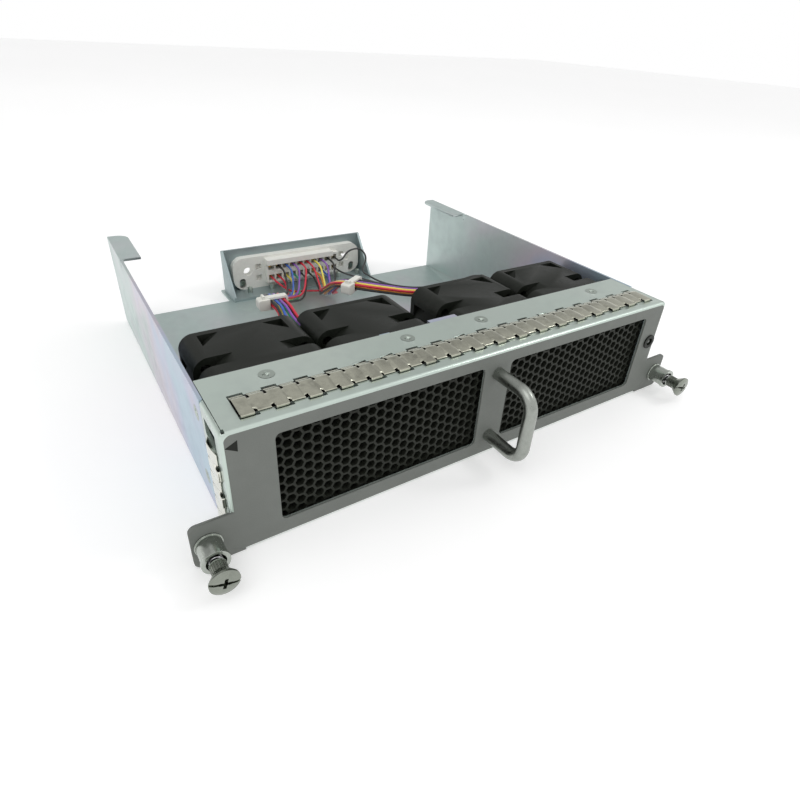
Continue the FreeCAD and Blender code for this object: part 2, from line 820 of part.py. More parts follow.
def fan_frame_shape(lead_side):
    """One fan housing in its own frame: front face at y = 0, axis along Y through the origin."""
    half = fan_size / 2
    frame = box(-half, half, 0, fan_depth, -half, half)
    frame = rounded(frame, fan_corner, (0, 1, 0), lambda p: True)
    keep = rod(fan_housing, (0, 0, 0), (0, fan_depth, 0))
    groove_back = fan_front_lobe + fan_front_groove
    inset = math.sqrt(fan_housing ** 2 - half ** 2)
    corners = []
    for sx in (-1, 1):
        for sz in (-1, 1):
            x0, x1 = sorted((sx * inset, sx * (half + 1)))
            z0, z1 = sorted((sz * inset, sz * (half + 1)))
            corners.append(box(x0, x1, fan_front_lobe, groove_back, z0, z1))
    grooves = Part.makeCompound(corners).cut(keep)
    pockets = Part.makeCompound([corner_pocket(turn) for turn in (0, 90, 180, 270)]).cut(keep)
    bore = rod(fan_bore, (0, -1, 0), (0, fan_depth + 1, 0))
    mouth = cone(fan_bore + 1.2, fan_bore, (0, 0, 0), (0, 2.4, 0))
    spacing = fan_mount_spacing / 2
    holes = [rod(fan_hole, (dx, -1, dz), (dx, fan_depth + 1, dz))
             for dx in (-spacing, spacing) for dz in (-spacing, spacing)]
    notch_z = lead_notch_z - fan_z
    notch = side_box(lead_side, half - lead_notch_width, half + 1, fan_depth - lead_notch_depth,
                     fan_depth + 1, notch_z - lead_notch_height / 2, notch_z + lead_notch_height / 2)
    frame = frame.cut([grooves, pockets, bore, mouth, notch] + holes)
    struts = []
    for k in range(4):
        strut = box(-strut_width / 2, strut_width / 2, fan_depth - strut_depth, fan_depth, 0, fan_bore + 0.6)
        strut.rotate(V(0, 0, 0), V(0, 1, 0), 45 + 90 * k)
        struts.append(strut)
    base = rod(hub_radius, (0, base_front, 0), (0, fan_depth, 0))
    sleeve = rod(sleeve_radius, (0, sleeve_front, 0), (0, fan_depth, 0))
    frame = joined([frame, base, sleeve] + struts)
    tray = ring(hub_radius - hub_wall, sleeve_radius, (0, base_front - 1, 0), (0, fan_depth - base_floor, 0))
    core = rod(bearing_radius, (0, sleeve_front - 1, 0), (0, rear_bearing_y + bearing_width, 0))
    tail = rod(shaft_radius + sleeve_wall / 2, (0, 0, 0), (0, shaft_back + shaft_end_gap, 0))
    return frame.cut([tray, core, tail])


def impeller_shape():
    """Hub cup with twisted blades, in the fan's own frame."""
    hub = rod(hub_radius, (0, hub_front, 0), (0, hub_back, 0))
    y0 = hub_front + blade_margin
    y1 = hub_back - blade_margin
    thick = blade_thickness / 2
    sections = []
    for radius, sweep in ((hub_radius - 2, blade_root_sweep), (fan_bore, blade_tip_sweep)):
        outline = [(y0, -sweep / 2 - thick), (y0, -sweep / 2 + thick), (y1, sweep / 2 + thick),
                   (y1, sweep / 2 - thick)]
        corners = [V(radius, y, z) for y, z in outline]
        sections.append(Part.makePolygon(corners + corners[:1]))
    blade = Part.makeLoft(sections, True, True)
    blades = []
    for k in range(blade_count):
        turned_blade = blade.copy()
        turned_blade.rotate(V(0, 0, 0), V(0, 1, 0), 360.0 * k / blade_count)
        blades.append(turned_blade)
    wheel = joined([hub] + blades).common(rod(blade_tip, (0, 0, 0), (0, fan_depth, 0)))
    cup = rod(hub_radius - hub_wall, (0, hub_front + hub_face, 0), (0, hub_back + 1, 0))
    boss_end = hub_front + hub_face + hub_boss_length
    boss = rod(hub_boss, (0, hub_front + hub_face / 2, 0), (0, boss_end, 0))
    bore = rod(shaft_radius, (0, shaft_front, 0), (0, fan_depth, 0))
    return joined([wheel.cut(cup), boss]).cut(bore)


def shaft_shape():
    return rod(shaft_radius, (0, shaft_front, 0), (0, shaft_back, 0))


def magnet_shape():
    outer = hub_radius - hub_wall
    return ring(outer, outer - magnet_thickness, (0, magnet_front, 0), (0, magnet_front + magnet_length, 0))


def stator_shape():
    """Laminated core with pole shoes, pressed on the bearing sleeve."""
    y0, y1 = stator_front, stator_front + stator_length
    centre = rod(sleeve_radius + pole_shoe, (0, y0, 0), (0, y1, 0))
    shoes = ring(stator_radius, stator_radius - pole_shoe, (0, y0, 0), (0, y1, 0))
    arms, gaps = [], []
    for k in range(pole_count):
        arm = box(-pole_width / 2, pole_width / 2, y0, y1, 0, stator_radius - pole_shoe / 2)
        arm.rotate(V(0, 0, 0), V(0, 1, 0), 360.0 * k / pole_count)
        arms.append(arm)
        gap = box(-pole_gap / 2, pole_gap / 2, y0 - 1, y1 + 1, 0, stator_radius + 1)
        gap.rotate(V(0, 0, 0), V(0, 1, 0), 360.0 * (k + 0.5) / pole_count)
        gaps.append(gap)
    core = joined([centre, shoes.cut(gaps)] + arms)
    return core.cut(rod(sleeve_radius, (0, y0 - 1, 0), (0, y1 + 1, 0)))


def coil_shapes():
    """One winding around each pole."""
    y0, y1 = stator_front, stator_front + stator_length
    inner = sleeve_radius + pole_shoe + coil_gap
    outer = stator_radius - pole_shoe - coil_gap
    coils = []
    for k in range(pole_count):
        wide = pole_width / 2
        around = box(-wide - coil_wall, wide + coil_wall, y0 - coil_wall, y1 + coil_wall, inner, outer)
        coil = around.cut(box(-wide, wide, y0, y1, inner - 1, outer + 1))
        coil = coil.common(rod(stator_radius - pole_shoe - coil_gap, (0, 0, 0), (0, fan_depth, 0)))
        coil.rotate(V(0, 0, 0), V(0, 1, 0), 360.0 * k / pole_count)
        coils.append(coil)
    return coils


def bearing_shapes():
    inner = shaft_radius + shaft_running_fit
    return [ring(bearing_radius, inner, (0, y, 0), (0, y + bearing_width, 0))
            for y in (front_bearing_y, rear_bearing_y)]


def board_shape():
    back = fan_depth - base_floor
    outer = hub_radius - hub_wall - board_margin
    return ring(outer, sleeve_radius + board_margin, (0, back - board_thickness, 0), (0, back, 0))


def at_fan(shape, number):
    shape = shape.copy()
    shape.translate(V(fan_xs[number], fan_front, fan_z))
    return shape


def thumb_ferrule(side):
    """The barrel pressed into an ear, with a web inside that carries the spring."""
    web_front = -ferrule_web_y - ferrule_web
    rim_back = -ferrule_length + ferrule_rim_length
    outline = [
        (-ferrule_length, ferrule_bore), (-ferrule_length, ferrule_rim), (rim_back, ferrule_rim),
        (rim_back, ferrule_radius), (-ferrule_collar_length, ferrule_radius),
        (-ferrule_collar_length, ferrule_collar), (0, ferrule_collar), (0, ferrule_shank),
        (sheet, ferrule_shank), (sheet, ferrule_back_bore), (-ferrule_web_y, ferrule_back_bore),
        (-ferrule_web_y, thumb_neck + thumb_neck_fit), (web_front, thumb_neck + thumb_neck_fit),
        (web_front, ferrule_bore),
    ]
    return turned(outline, side * thumb_x, thumb_z)


def thumb_places():
    """Where the stretches of the screw begin, along Y, with the screw sprung out."""
    contact = -ferrule_length - thumb_travel
    cone_slope = thumb_cone / (thumb_head - thumb_grip)
    grip_front = contact + (ferrule_bore - thumb_grip) * cone_slope
    grip_back = grip_front + thumb_grip_length
    head_back = grip_front - thumb_cone
    return grip_back, grip_front, head_back


def thumbscrew(side):
    """The captive screw: thread, its run-out, waist, knurled grip, cone and slotted head."""
    grip_back, grip_front, head_back = thumb_places()
    face = head_back - thumb_rim
    run_out_front = -ferrule_web_y + thumb_thread_gap
    thread_front = sheet + thumb_run_out_end
    outline = [
        (thumb_thread_end, 0), (thumb_thread_end, thumb_thread * 0.7),
        (thumb_thread_end - thumb_thread * 0.4, thumb_thread), (thread_front, thumb_thread),
        (thread_front, thumb_run_out), (run_out_front, thumb_run_out), (run_out_front, thumb_neck),
        (grip_back, thumb_neck), (grip_back, thumb_grip),
        (grip_front, thumb_grip), (head_back, thumb_head), (face, thumb_head),
        (face - thumb_dome * 0.7, thumb_head * 0.7), (face - thumb_dome, 0),
    ]
    x = side * thumb_x
    screw = turned(outline, x, thumb_z)
    cuts = []
    for k in range(knurl_count):
        angle = 2 * math.pi * k / knurl_count
        dx, dz = thumb_grip * math.cos(angle), thumb_grip * math.sin(angle)
        start = (x + dx, grip_front, thumb_z + dz)
        cuts.append(rod(knurl_radius, start, (x + dx, grip_back + 1, thumb_z + dz)))
    front = face - thumb_dome
    slot = box(-thumb_head - 1, thumb_head + 1, front - 1, front + thumb_slot_depth,
               -thumb_slot / 2, thumb_slot / 2)
    cross = cross_recess((0, front, 0), (0, -1, 0), 2 * thumb_slot_depth, thumb_head * 0.8, thumb_slot * 1.3)
    for cutter in (slot, cross):
        cutter.rotate(V(0, 0, 0), V(0, 1, 0), -thumb_slot_turn)
        cutter.translate(V(x, 0, thumb_z))
        cuts.append(cutter)
    return screw.cut(cuts)


def spring_washer(side):
    """The loose washer between the spring and the back of the grip."""
    grip_back = thumb_places()[0]
    front, back = grip_back + washer_gap, grip_back + washer_gap + washer_thickness
    x = side * thumb_x
    return ring(thumb_grip, thumb_neck + thumb_neck_fit, (x, front, thumb_z), (x, back, thumb_z))


def thumb_spring(side):
    """The coil spring between the ferrule's web and the washer."""
    washer_back = thumb_places()[0] + washer_gap + washer_thickness
    web_front = -ferrule_web_y - ferrule_web
    length = web_front - washer_back - 2 * spring_wire
    helix = Part.makeHelix(length / spring_turns, length, spring_radius)
    helix.rotate(V(0, 0, 0), V(1, 0, 0), -90)
    start = helix.Vertexes[0].Point
    ahead = helix.Edges[0].tangentAt(helix.Edges[0].FirstParameter)
    section = Part.Wire(Part.makeCircle(spring_wire, start, ahead))
    coil = Part.Wire(helix.Edges).makePipeShell([section], True, True)
    coil.translate(V(side * thumb_x, washer_back + spring_wire, thumb_z))
    return coil


def connector_bracket():
    """An upright plate on a forward foot, with a gusset at each end."""
    foot_front = bracket_back - bracket_flange
    foot_top = sheet + bracket_sheet
    plate = box(bracket_left, bracket_right, bracket_y, bracket_back, sheet, bracket_top)
    foot = box(bracket_left, bracket_right, foot_front, bracket_back, sheet, foot_top)
    gusset = [(bracket_back, sheet), (foot_front, sheet), (foot_front, foot_top + bracket_sheet),
              (bracket_y, bracket_top), (bracket_back, bracket_top)]
    pieces = [plate, foot]
    pieces.append(prism_x(gusset, bracket_left, bracket_left + bracket_sheet))
    pieces.append(prism_x(gusset, bracket_right - bracket_sheet, bracket_right))
    bracket = joined(pieces)
    x0, x1, z0, z1 = body_outline()
    gap = body_clearance
    front, back = bracket_y - 1, bracket_back + 1
    cuts = [box(x0 - gap, x1 + gap, front, back, z0 - gap, z1 + gap)]
    for x, z in fixing_places():
        cuts.append(rod(fixing_shank, (x, front, z), (x, back, z)))
    for x, z in guide_places():
        cuts.append(rod(guide_radius + gap, (x, front, z), (x, back, z)))
    for x, y, z in bracket_screw_places():
        cuts.append(rod(screw_shank, (x, y, z), (x, y, foot_top + sheet)))
    return bracket.cut(cuts)


def body_outline():
    half = cavity_columns * cavity_pitch / 2 + body_wall / 2
    height = cavity_row_pitch / 2 + cavity_size / 2 + body_wall
    return (cavity_centre_x - half, cavity_centre_x + half, connector_z - height, connector_z + height)


def fixing_places():
    """Where the connector is fixed with play: in the slots near its two ends."""
    return [(connector_x + side * slot_offset, connector_z - slot_drop) for side in (-1, 1)]


def guide_places():
    """Round holes that take the guide pins of the chassis."""
    return [(connector_x + side * guide_offset, connector_z + guide_rise) for side in (-1, 1)]


def cavity_place(column, row):
    """Middle of a wire cavity. Row 0 is the lower row."""
    x = cavity_centre_x + (column - (cavity_columns - 1) / 2) * cavity_pitch
    z = connector_z + (row - 0.5) * cavity_row_pitch
    return x, z


def upright_slot(x, z, y0, y1):
    """A slot with round ends that stands upright."""
    half = slot_length / 2 - slot_radius
    ends = [rod(slot_radius, (x, y0, z + side * half), (x, y1, z + side * half)) for side in (-1, 1)]
    return joined(ends + [box(x - slot_radius, x + slot_radius, y0, y1, z - half, z + half)])


def connector_housing():
    """The moulded connector: a long flange, the body with its wire cavities, and a hood over them."""
    half = connector_length / 2
    x0, x1 = connector_x - half, connector_x + half
    z0, z1 = connector_z - connector_height / 2, connector_z + connector_height / 2
    flange = box(x0, x1, flange_front_y, bracket_y, z0, z1)
    flange = rounded(flange, connector_corner, (0, 1, 0), lambda p: True)
    bx0, bx1, bz0, bz1 = body_outline()
    body = box(bx0, bx1, body_front_y, back_reach, bz0, bz1)
    hood_front = body_front_y - hood_reach
    hood_bottom = bz1 - body_wall
    hood_top = hood_bottom + hood_height
    hood = box(bx0, bx1 - cavity_pitch, hood_front, flange_front_y, hood_bottom, hood_top)
    housing = joined([flange, body, hood])
    cuts = []
    reach = cavity_size / 2
    for column in range(cavity_columns):
        for row in (0, 1):
            x, z = cavity_place(column, row)
            cuts.append(box(x - reach, x + reach, body_front_y - 1, back_reach + 1, z - reach, z + reach))
    for x, z in fixing_places():
        cuts.append(upright_slot(x, z, flange_front_y - 1, bracket_y + 1))
    for x, z in guide_places():
        cuts.append(rod(guide_radius, (x, flange_front_y - 1, z), (x, bracket_y + 1, z)))
    pocket = pocket_size / 2
    for side in (-1, 1):
        x = cavity_centre_x + side * pocket_offset - side * pocket
        for row in (0, 1):
            z = cavity_place(0, row)[1]
            cuts.append(box(x - pocket, x + pocket, flange_front_y - 1, flange_front_y + pocket_depth,
                            z - pocket, z + pocket))
    return housing.cut(cuts)


def connector_fixings():
    """Screws from behind the bracket, each with a nut that slides in the connector's slot."""
    solids = []
    for x, z in fixing_places():
        nut_front = flange_front_y + fixing_nut_setback
        nut_back = nut_front + fixing_nut_thickness
        head_back = bracket_back + fixing_head_height
        head = rod(fixing_head, (x, bracket_back, z), (x, head_back, z))
        shank = rod(fixing_shank, (x, nut_front, z), (x, bracket_back + 1, z))
        solids.append(joined([head, shank]).cut(cross_recess((x, head_back, z), (0, 1, 0))))
        outer = slot_radius - fixing_nut_play
        solids.append(ring(outer, fixing_shank, (x, nut_front, z), (x, nut_back, z)))
    return solids


def contact_shapes():
    """One metal contact in each cavity, held by the cavity's four walls."""
    contacts = []
    for column in range(cavity_columns):
        for row in (0, 1):
            x, z = cavity_place(column, row)
            y0 = body_front_y + contact_front
            y1 = y0 + contact_crimp
            half = cavity_size / 2
            barrel = rod(contact_radius, (x, y0, z), (x, y1 + 1, z))
            block = box(x - half, x + half, y1, y1 + contact_size, z - half, z + half)
            blade_half = contact_size / 4
            blade = box(x - blade_half, x + blade_half, y1, y0 + contact_length, z - blade_half, z + blade_half)
            contacts.append(joined([barrel, block, blade]))
    return contacts


def countersunk_screws():
    """Every flush screw of the sheet metal: on the strip, on the sides, and from below."""
    screws = [countersunk_screw(place, (0, 0, 1)) for place in strip_screw_places()]
    for side in (-1, 1):
        screws += [countersunk_screw(place, (side, 0, 0)) for place in side_screw_places(side)]
    screws += [countersunk_screw(place, (0, 0, -1)) for place in floor_screw_places()]
    screws += [countersunk_screw(place, (0, 0, -1)) for place in bracket_screw_places()]
    return screws


def wire_path(points):
    """Straight runs joined by arcs.

    An arc's radius is 0.45 of the shorter run over the tangent of half the turn.
    """
    points = [V(*p) for p in points]
    edges = []
    radii = []
    start = points[0]
    for k in range(1, len(points) - 1):
        before = points[k].sub(points[k - 1])
        after = points[k + 1].sub(points[k])
        cut = arc_share * min(before.Length, after.Length)
        before.normalize()
        after.normalize()
        half_turn = before.getAngle(after) / 2
        radius = cut / math.tan(half_turn)
        radii.append(radius)
        toward = after - before
        toward.normalize()
        arc_start = points[k].sub(before * cut)
        arc_end = points[k] + after * cut
        arc_middle = points[k] + toward * (radius / math.cos(half_turn) - radius)
        edges.append(Part.makeLine(start, arc_start))
        edges.append(Part.Arc(arc_start, arc_middle, arc_end).toShape())
        start = arc_end
    edges.append(Part.makeLine(start, points[-1]))
    return Part.Wire(edges), radii


def wire(name, points):
    path, radii = wire_path(points)
    start = V(*points[0])
    ahead = V(*points[1]).sub(start)
    section = Part.Wire(Part.makeCircle(wire_radius, start, ahead))
    solid = path.makePipeShell([section], True, True)
    ratio = solid.Volume / (math.pi * wire_radius ** 2 * path.Length)
    print("%s: %.1f mm long, volume / (section x length) %.4f, radii %s"
          % (name, path.Length, ratio, " ".join("%.1f" % r for r in radii)))
    return solid


def beside(centre, across, up):
    """Shifts the points of a bundle's centre line for one wire, so that the wires turn side by side.

    Each centre point is (x, y, z, spacing): the wire lies across * spacing to the side and up * spacing
    above. At a corner the shift follows the line that halves the corner.
    """
    shifted = []
    last = len(centre) - 1
    for k, (x, y, z, spacing) in enumerate(centre):
        ahead = V(*centre[min(k + 1, last)][:3]) - V(*centre[min(k, last - 1)][:3])
        behind = V(*centre[max(k, 1)][:3]) - V(*centre[max(k - 1, 0)][:3])
        turn_in = math.atan2(behind.x, -behind.y)
        turn_out = math.atan2(ahead.x, -ahead.y)
        middle = (turn_in + turn_out) / 2
        reach = across * spacing / math.cos((turn_out - turn_in) / 2)
        shifted.append((x + reach * math.cos(middle), y + reach * math.sin(middle), z + up * spacing))
    return shifted


def notch_x(fan):
    """Middle of a fan's lead notch. The notches of a pair of fans face each other."""
    side = 1 if fan in (0, 2) else -1
    return fan_xs[fan] + side * (fan_size / 2 - lead_notch_width / 2)


def fan_lead(fan, column, row):
    """One lead from the connector through the tie of its pair of fans to its place in the fan's notch."""
    pair = fan // 2
    across = (fan % 2) * 2 + column - 1.5
    up = row - 0.5
    bundle = beside(bundle_centres[pair], across, up)
    connector_column = first_columns[pair] + (fan % 2) * 2 + column
    if (fan, column, row) == crossing_lead:
        connector_column = 0
    x, z = cavity_place(connector_column, row)
    first = body_front_y + contact_front
    points = [(x, first, z), (x, first - lead_straight, z)]
    if connector_column == 0:
        points += list(crossing_points) + bundle[3:-1]
    else:
        points += bundle[2:-1]
    end_x = notch_x(fan) + (column - 0.5) * notch_pitch
    end_z = lead_notch_z + up * notch_pitch
    if pair == 0:
        points.append((end_x, fan_back + lead_exit, end_z))
    else:
        points[-1] = (end_x, points[-1][1], end_z)
    points.append((end_x, fan_back - lead_notch_depth, end_z))
    return points


def lamp_lead_route(row):
    """A lamp lead: down behind the lamp, back beside the last fan, and along the floor to the connector."""
    side = 1 if row == 0 else -1
    x, z = cavity_place(lamp_lead_column, row)
    lead_x = lamp_x + side * lamp_lead_spacing / 2
    start = lamp_holder_depth + lamp_leg
    low = lamp_lead_z + row * lamp_lead_rise
    first = body_front_y + contact_front
    shift = side * lamp_lead_rise / 2
    points = [
        (lead_x, start, lamp_z),
        (lead_x, start + lamp_bend - side, lamp_z),
        (lead_x, start + lamp_bend + lamp_slant - side, low + lamp_bend),
        (lamp_lane_x, plate_y - lamp_bend, low),
        (lamp_lane_x, lamp_lane_end, low),
    ]
    points += [(px + shift, py + shift, low) for px, py in lamp_floor_points]
    if row == 1:
        points += list(lamp_loop)[::-1]
    points.append((x, first - lead_straight, z))
    points.append((x, first, z))
    return points


def cable_tie(centre, turn, across, up):
    """A band round a bundle with its ratchet head on one side and the trimmed tail."""
    half_x = across / 2 + tie_clearance
    half_z = up / 2 + tie_clearance
    thick = tie_band
    half_y = tie_width / 2
    outer = box(-half_x - thick, half_x + thick, -half_y, half_y, -half_z - thick, half_z + thick)
    outer = rounded(outer, thick, (0, 1, 0), lambda p: True)
    inner = box(-half_x, half_x, -half_y - 1, half_y + 1, -half_z, half_z)
    head = box(-half_x - tie_head, -half_x, -tie_head / 2, tie_head / 2, -tie_head / 2, tie_head / 2)
    head = rounded(head, thick, (0, 1, 0), lambda p: p.x < -half_x - thick)
    tail_x = -half_x - tie_head / 2
    tail = box(tail_x - thick / 2, tail_x + thick / 2, -half_y, half_y, 0, tie_head / 2 + tie_tail)
    tie = joined([outer, head, tail]).cut(inner)
    tie.rotate(V(0, 0, 0), V(0, 0, 1), turn)
    tie.translate(V(*centre))
    return tie


def cable_ties():
    """One tie for each bundle, halfway along the straight run between its fourth and fifth centre points."""
    ties = []
    for centre in bundle_centres:
        before, after = V(*centre[tie_run][:3]), V(*centre[tie_run + 1][:3])
        place = (before + after) * 0.5
        ahead = after - before
        turn = math.degrees(math.atan2(ahead.x, -ahead.y))
        across = 3 * lead_pitch + 2 * wire_radius
        ties.append(cable_tie(place, turn, across, lead_pitch + 2 * wire_radius))
    return ties


def leads(colour):
    """All fan leads of one colour."""
    solids = []
    for fan, colours in enumerate(lead_colours):
        for place, name in enumerate(colours):
            if name == colour:
                label = "fan %d %s lead" % (fan + 1, colour)
                solids.append(wire(label, fan_lead(fan, place % 2, place // 2)))
    return solids


parts = {
    "tray_pan": tray_pan(),
    "front_bezel": front_bezel(),
    "fan_plate": fan_plate(),
    "foam_seals": foam_seals(),
    "vent_frame_left": vent_frame(left_window_x),
    "vent_frame_right": vent_frame(right_window_x),
    "vent_honeycomb_left": vent_core(left_window_x),
    "vent_honeycomb_right": vent_core(right_window_x),
    "top_gasket": place_top(finger_gasket(top_finger_count)),
    "side_gaskets": [place_side(side, finger_gasket(side_finger_count)) for side in (-1, 1)],
    "pull_handle": pull_handle(),
    "handle_screws": handle_screws(),
    "lamp_holder": lamp_holder(),
    "status_lamp": status_lamp(),
    "countersunk_screws": countersunk_screws(),
    "fan_screws": fan_screws(),
    "connector_bracket": connector_bracket(),
    "connector_housing": connector_housing(),
    "connector_contacts": contact_shapes(),
    "connector_fixings": connector_fixings(),
    "cable_ties": cable_ties(),
    "lamp_leads": [wire("lamp lead", lamp_lead_route(row)) for row in (0, 1)],
    "fan_stators": [at_fan(stator_shape(), number) for number in range(4)],
    "fan_coils": [at_fan(coil, number) for number in range(4) for coil in coil_shapes()],
    "fan_bearings": [at_fan(bearing, number) for number in range(4) for bearing in bearing_shapes()],
    "fan_boards": [at_fan(board_shape(), number) for number in range(4)],
}
for number in range(4):
    lead_side = 1 if number in (0, 2) else -1
    name = "fan_%d" % (number + 1)
    parts[name + "_frame"] = at_fan(fan_frame_shape(lead_side), number)
    parts[name + "_impeller"] = at_fan(impeller_shape(), number)
    parts[name + "_magnet"] = at_fan(magnet_shape(), number)
    parts[name + "_shaft"] = at_fan(shaft_shape(), number)
for colour in sorted(set(sum(lead_colours, ()))):
    parts[colour + "_leads"] = leads(colour)
for side, name in ((-1, "left"), (1, "right")):
    parts[name + "_ferrule"] = thumb_ferrule(side)
    parts[name + "_thumbscrew"] = thumbscrew(side)
    parts[name + "_spring_washer"] = spring_washer(side)
    parts[name + "_spring"] = thumb_spring(side)

os.makedirs("parts", exist_ok=True)
for node, shapes in parts.items():
    save(node, shapes)
print("%d nodes" % len(parts))
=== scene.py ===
import bmesh
import bpy
import json
import math
import numpy as np
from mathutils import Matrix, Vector


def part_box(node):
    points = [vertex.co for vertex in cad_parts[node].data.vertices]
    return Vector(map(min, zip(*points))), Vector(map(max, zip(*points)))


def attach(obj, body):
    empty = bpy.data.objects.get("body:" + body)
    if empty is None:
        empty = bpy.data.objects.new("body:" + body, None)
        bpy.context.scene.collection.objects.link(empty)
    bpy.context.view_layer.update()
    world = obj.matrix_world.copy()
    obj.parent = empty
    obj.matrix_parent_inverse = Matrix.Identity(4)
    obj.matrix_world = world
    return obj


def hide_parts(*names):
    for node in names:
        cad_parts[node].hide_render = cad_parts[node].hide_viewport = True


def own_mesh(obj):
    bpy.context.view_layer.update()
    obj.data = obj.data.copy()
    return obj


# Places and sizes on the object are in millimetres, counted from the middle of the panel's bottom front
# edge, and MM turns them into metres. X runs along the panel, Y back into the tray, Z up.

MM = 0.001

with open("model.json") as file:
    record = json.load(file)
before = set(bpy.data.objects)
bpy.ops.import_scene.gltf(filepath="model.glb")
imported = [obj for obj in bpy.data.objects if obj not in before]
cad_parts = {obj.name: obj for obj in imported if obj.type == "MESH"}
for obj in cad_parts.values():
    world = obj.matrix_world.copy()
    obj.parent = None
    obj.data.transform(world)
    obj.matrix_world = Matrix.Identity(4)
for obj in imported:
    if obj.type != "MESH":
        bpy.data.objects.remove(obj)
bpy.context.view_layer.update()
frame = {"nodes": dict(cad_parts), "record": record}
bodies = {node: body for body, members in frame["record"]["behaviour"]["bodies"].items() for node in members}
panel_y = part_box("front_bezel")[0].y

# Camera: place, lens and sensor in millimetres, turn in degrees, shift in widths of the picture, and the
# distance in metres from which it sees
CAMERA_PLACE = (-111.92, -111.34, 127.54)
CAMERA_TURN = (57.385, -3.243, -32.893)
CAMERA_LENS = 24.87
CAMERA_SENSOR = 36.0
CAMERA_SHIFT = (-0.00993, -0.02169)
CAMERA_NEAR = 0.005

# Light: the room's strength in front and its share behind, and the ranges of direction over which it falls;
# then each lamp's name, place in metres, power in watts and width in metres
ROOM_LIGHT = 0.95
ROOM_BACK = 0.5
FALL_BEHIND = (0.0, 0.6)
FALL_ABOVE = (0.1, 0.4)
LIGHTS = (
    ("key", (-0.5, -0.35, 0.9), 1.5, 0.7),
    ("fill", (0.8, -0.2, 0.7), 0.3, 0.8),
    ("edge", (0.7, -0.42, 0.75), 1.0, 0.2),
    ("back", (0.1, 0.9, 0.8), 0.3, 0.8),
)

# Table: half its width and its level in metres, and its glow
TABLE_HALF = 3.0
TABLE_LEVEL = -0.0002
TABLE_GLOW = 0.2

# Meshes: reach in metres within which points are merged, angles in degrees for flat neighbours and for sharp
# edges, and the slanting line from which a tube's rings are started
MERGE_REACH = 2e-6
FLAT_ANGLE = 0.5
COPY_SEAM = 32
PIECE_SEAM = 30
SLANT = (0.31, 0.17, 0.93)

# Panel
HALF_WIDTH = 89.0
PANEL_HEIGHT = 42.0
EAR_REACH = 100.5
EAR_HEIGHT = 15.3
MARK_CORNERS = ((-88.1, 37.3), (-84.7, 39.0), (-84.9, 35.4))
MARK_LIFT = 0.02

# Paint: it ends short of the panel's top and sides, is PAINT_DEPTH deep behind the face, and its shapes
# reach below the panel to PAINT_FOOT, so that they have no lower edge. On the ears it reaches past their
# tops and ends, and covers their backs from a little outside the panel. The painted shade on the sheet under
# the top strip, which makes its slits look dark, ends STRIP_MARGIN inside the strip's own edges. NO_LIMIT
# stands for a direction that a mask doesn't bound.
PAINT_INSET = 0.9
PAINT_CORNER = 2.0
PAINT_DEPTH = 0.55
PAINT_FOOT = -10.0
EAR_PAINT_ABOVE = 0.3
EAR_PAINT_PAST = 1.0
EAR_PAINT_START = 0.1
EAR_PAINT_CORNER = 0.1
STRIP_MARGIN = 0.2
NO_LIMIT = 1e6

# Zinc film: its length, how far its bands drift, and the share of the length and the colour of each tint
RAINBOW_LENGTH = 165.0
RAINBOW_DRIFT = 0.22
RAINBOW_TINTS = (
    (0.08, (0.44, 0.62, 0.78)), (0.28, (0.56, 0.57, 0.80)), (0.50, (0.70, 0.58, 0.70)),
    (0.72, (0.60, 0.64, 0.65)), (0.92, (0.54, 0.66, 0.63)),
)

# Colours of sheet and paint
HANDLED_SHEET = (0.30, 0.32, 0.34, 1)
FRONT_ZINC = (0.56, 0.64, 0.57, 1)
HANDLED_FRONT = (0.34, 0.38, 0.38, 1)
# painted shade: the colour of the sheet under the top finger strip, dark so that its slits look dark
UNDER_STRIP_SHADE = (0.02, 0.02, 0.02, 1)
PAINT_DARK = (0.118, 0.128, 0.116, 1)
PAINT_PALE = (0.150, 0.161, 0.147, 1)
PAINT_RUBBED = (0.175, 0.187, 0.172, 1)

# Colours of the lamp's lens and of the table
LENS_DARK = (0.012, 0.016, 0.012, 1)
LENS_CLOUD = (0.05, 0.065, 0.05, 1)
TABLE_WHITE = (0.90, 0.90, 0.90, 1)
TABLE_BRIGHT = (0.93, 0.93, 0.93, 1)

# Noise values from the first of these to the second are spread over a material's own range
NOISE_RANGE = (0.3, 0.7)
SMUDGE_RANGE = (0.32, 0.68)

# Finger strips. HOOK_LINES says how far each row of a hook lies before the skin's front edge, and
# HOOK_SHARES gives the heights of the rows after the first as shares of the front height. TOP_STRIP and
# SIDE_STRIP hold the number of fingers, where the first one starts, and the strip's depth behind the face.
FINGER_PITCH = 4.7625
FINGER_DEPTH = 9.6
FINGER_RISE = 1.15
FINGER_CROWN = 0.22
FINGER_CREST = 6.5
FINGER_SKIN = 0.2
FINGER_SLIT_WIDTH = 0.85
FINGER_SLIT = 3.7
FINGER_NOTCH_WIDTH = 1.0
FINGER_NOTCH = 0.9
FINGER_COLUMNS = 9
FRONT_LINE = 0.45
NOTCH_ROWS = 6
SLIT_ROWS = 12
HOOK_DROP = 0.8
HOOK_LINES = (-0.95, -0.92, -0.8, -0.5)
HOOK_SHARES = (0.62, 0.88, 0.97)
TALL_START = 0.86
LOW_START = 0.34
TOP_STRIP = (35, -82.49, 4.9)
SIDE_STRIP = (6, 4.0, 4.9)

# Captive screws
SCREW_X = 96.0
SCREW_Z = 7.6
SPRING_RADIUS = 1.75
SPRING_WIRE = 0.22
SPRING_TURNS = 5.0
SPRING_POINTS = 160
SPRING_SIDES = 8


def place(x, y, z):
    """A point of the panel's own millimetres as a point of the row frame in metres."""
    return Vector((x * MM, y * MM + panel_y, z * MM))


def placed(points):
    """The same for an array of points."""
    return np.asarray(points, float) * MM + np.array([0, panel_y, 0])


# Objects and meshes

def new_object(name, data):
    """An object with this data, in the scene."""
    made = bpy.data.objects.new(name, data)
    bpy.context.scene.collection.objects.link(made)
    return made


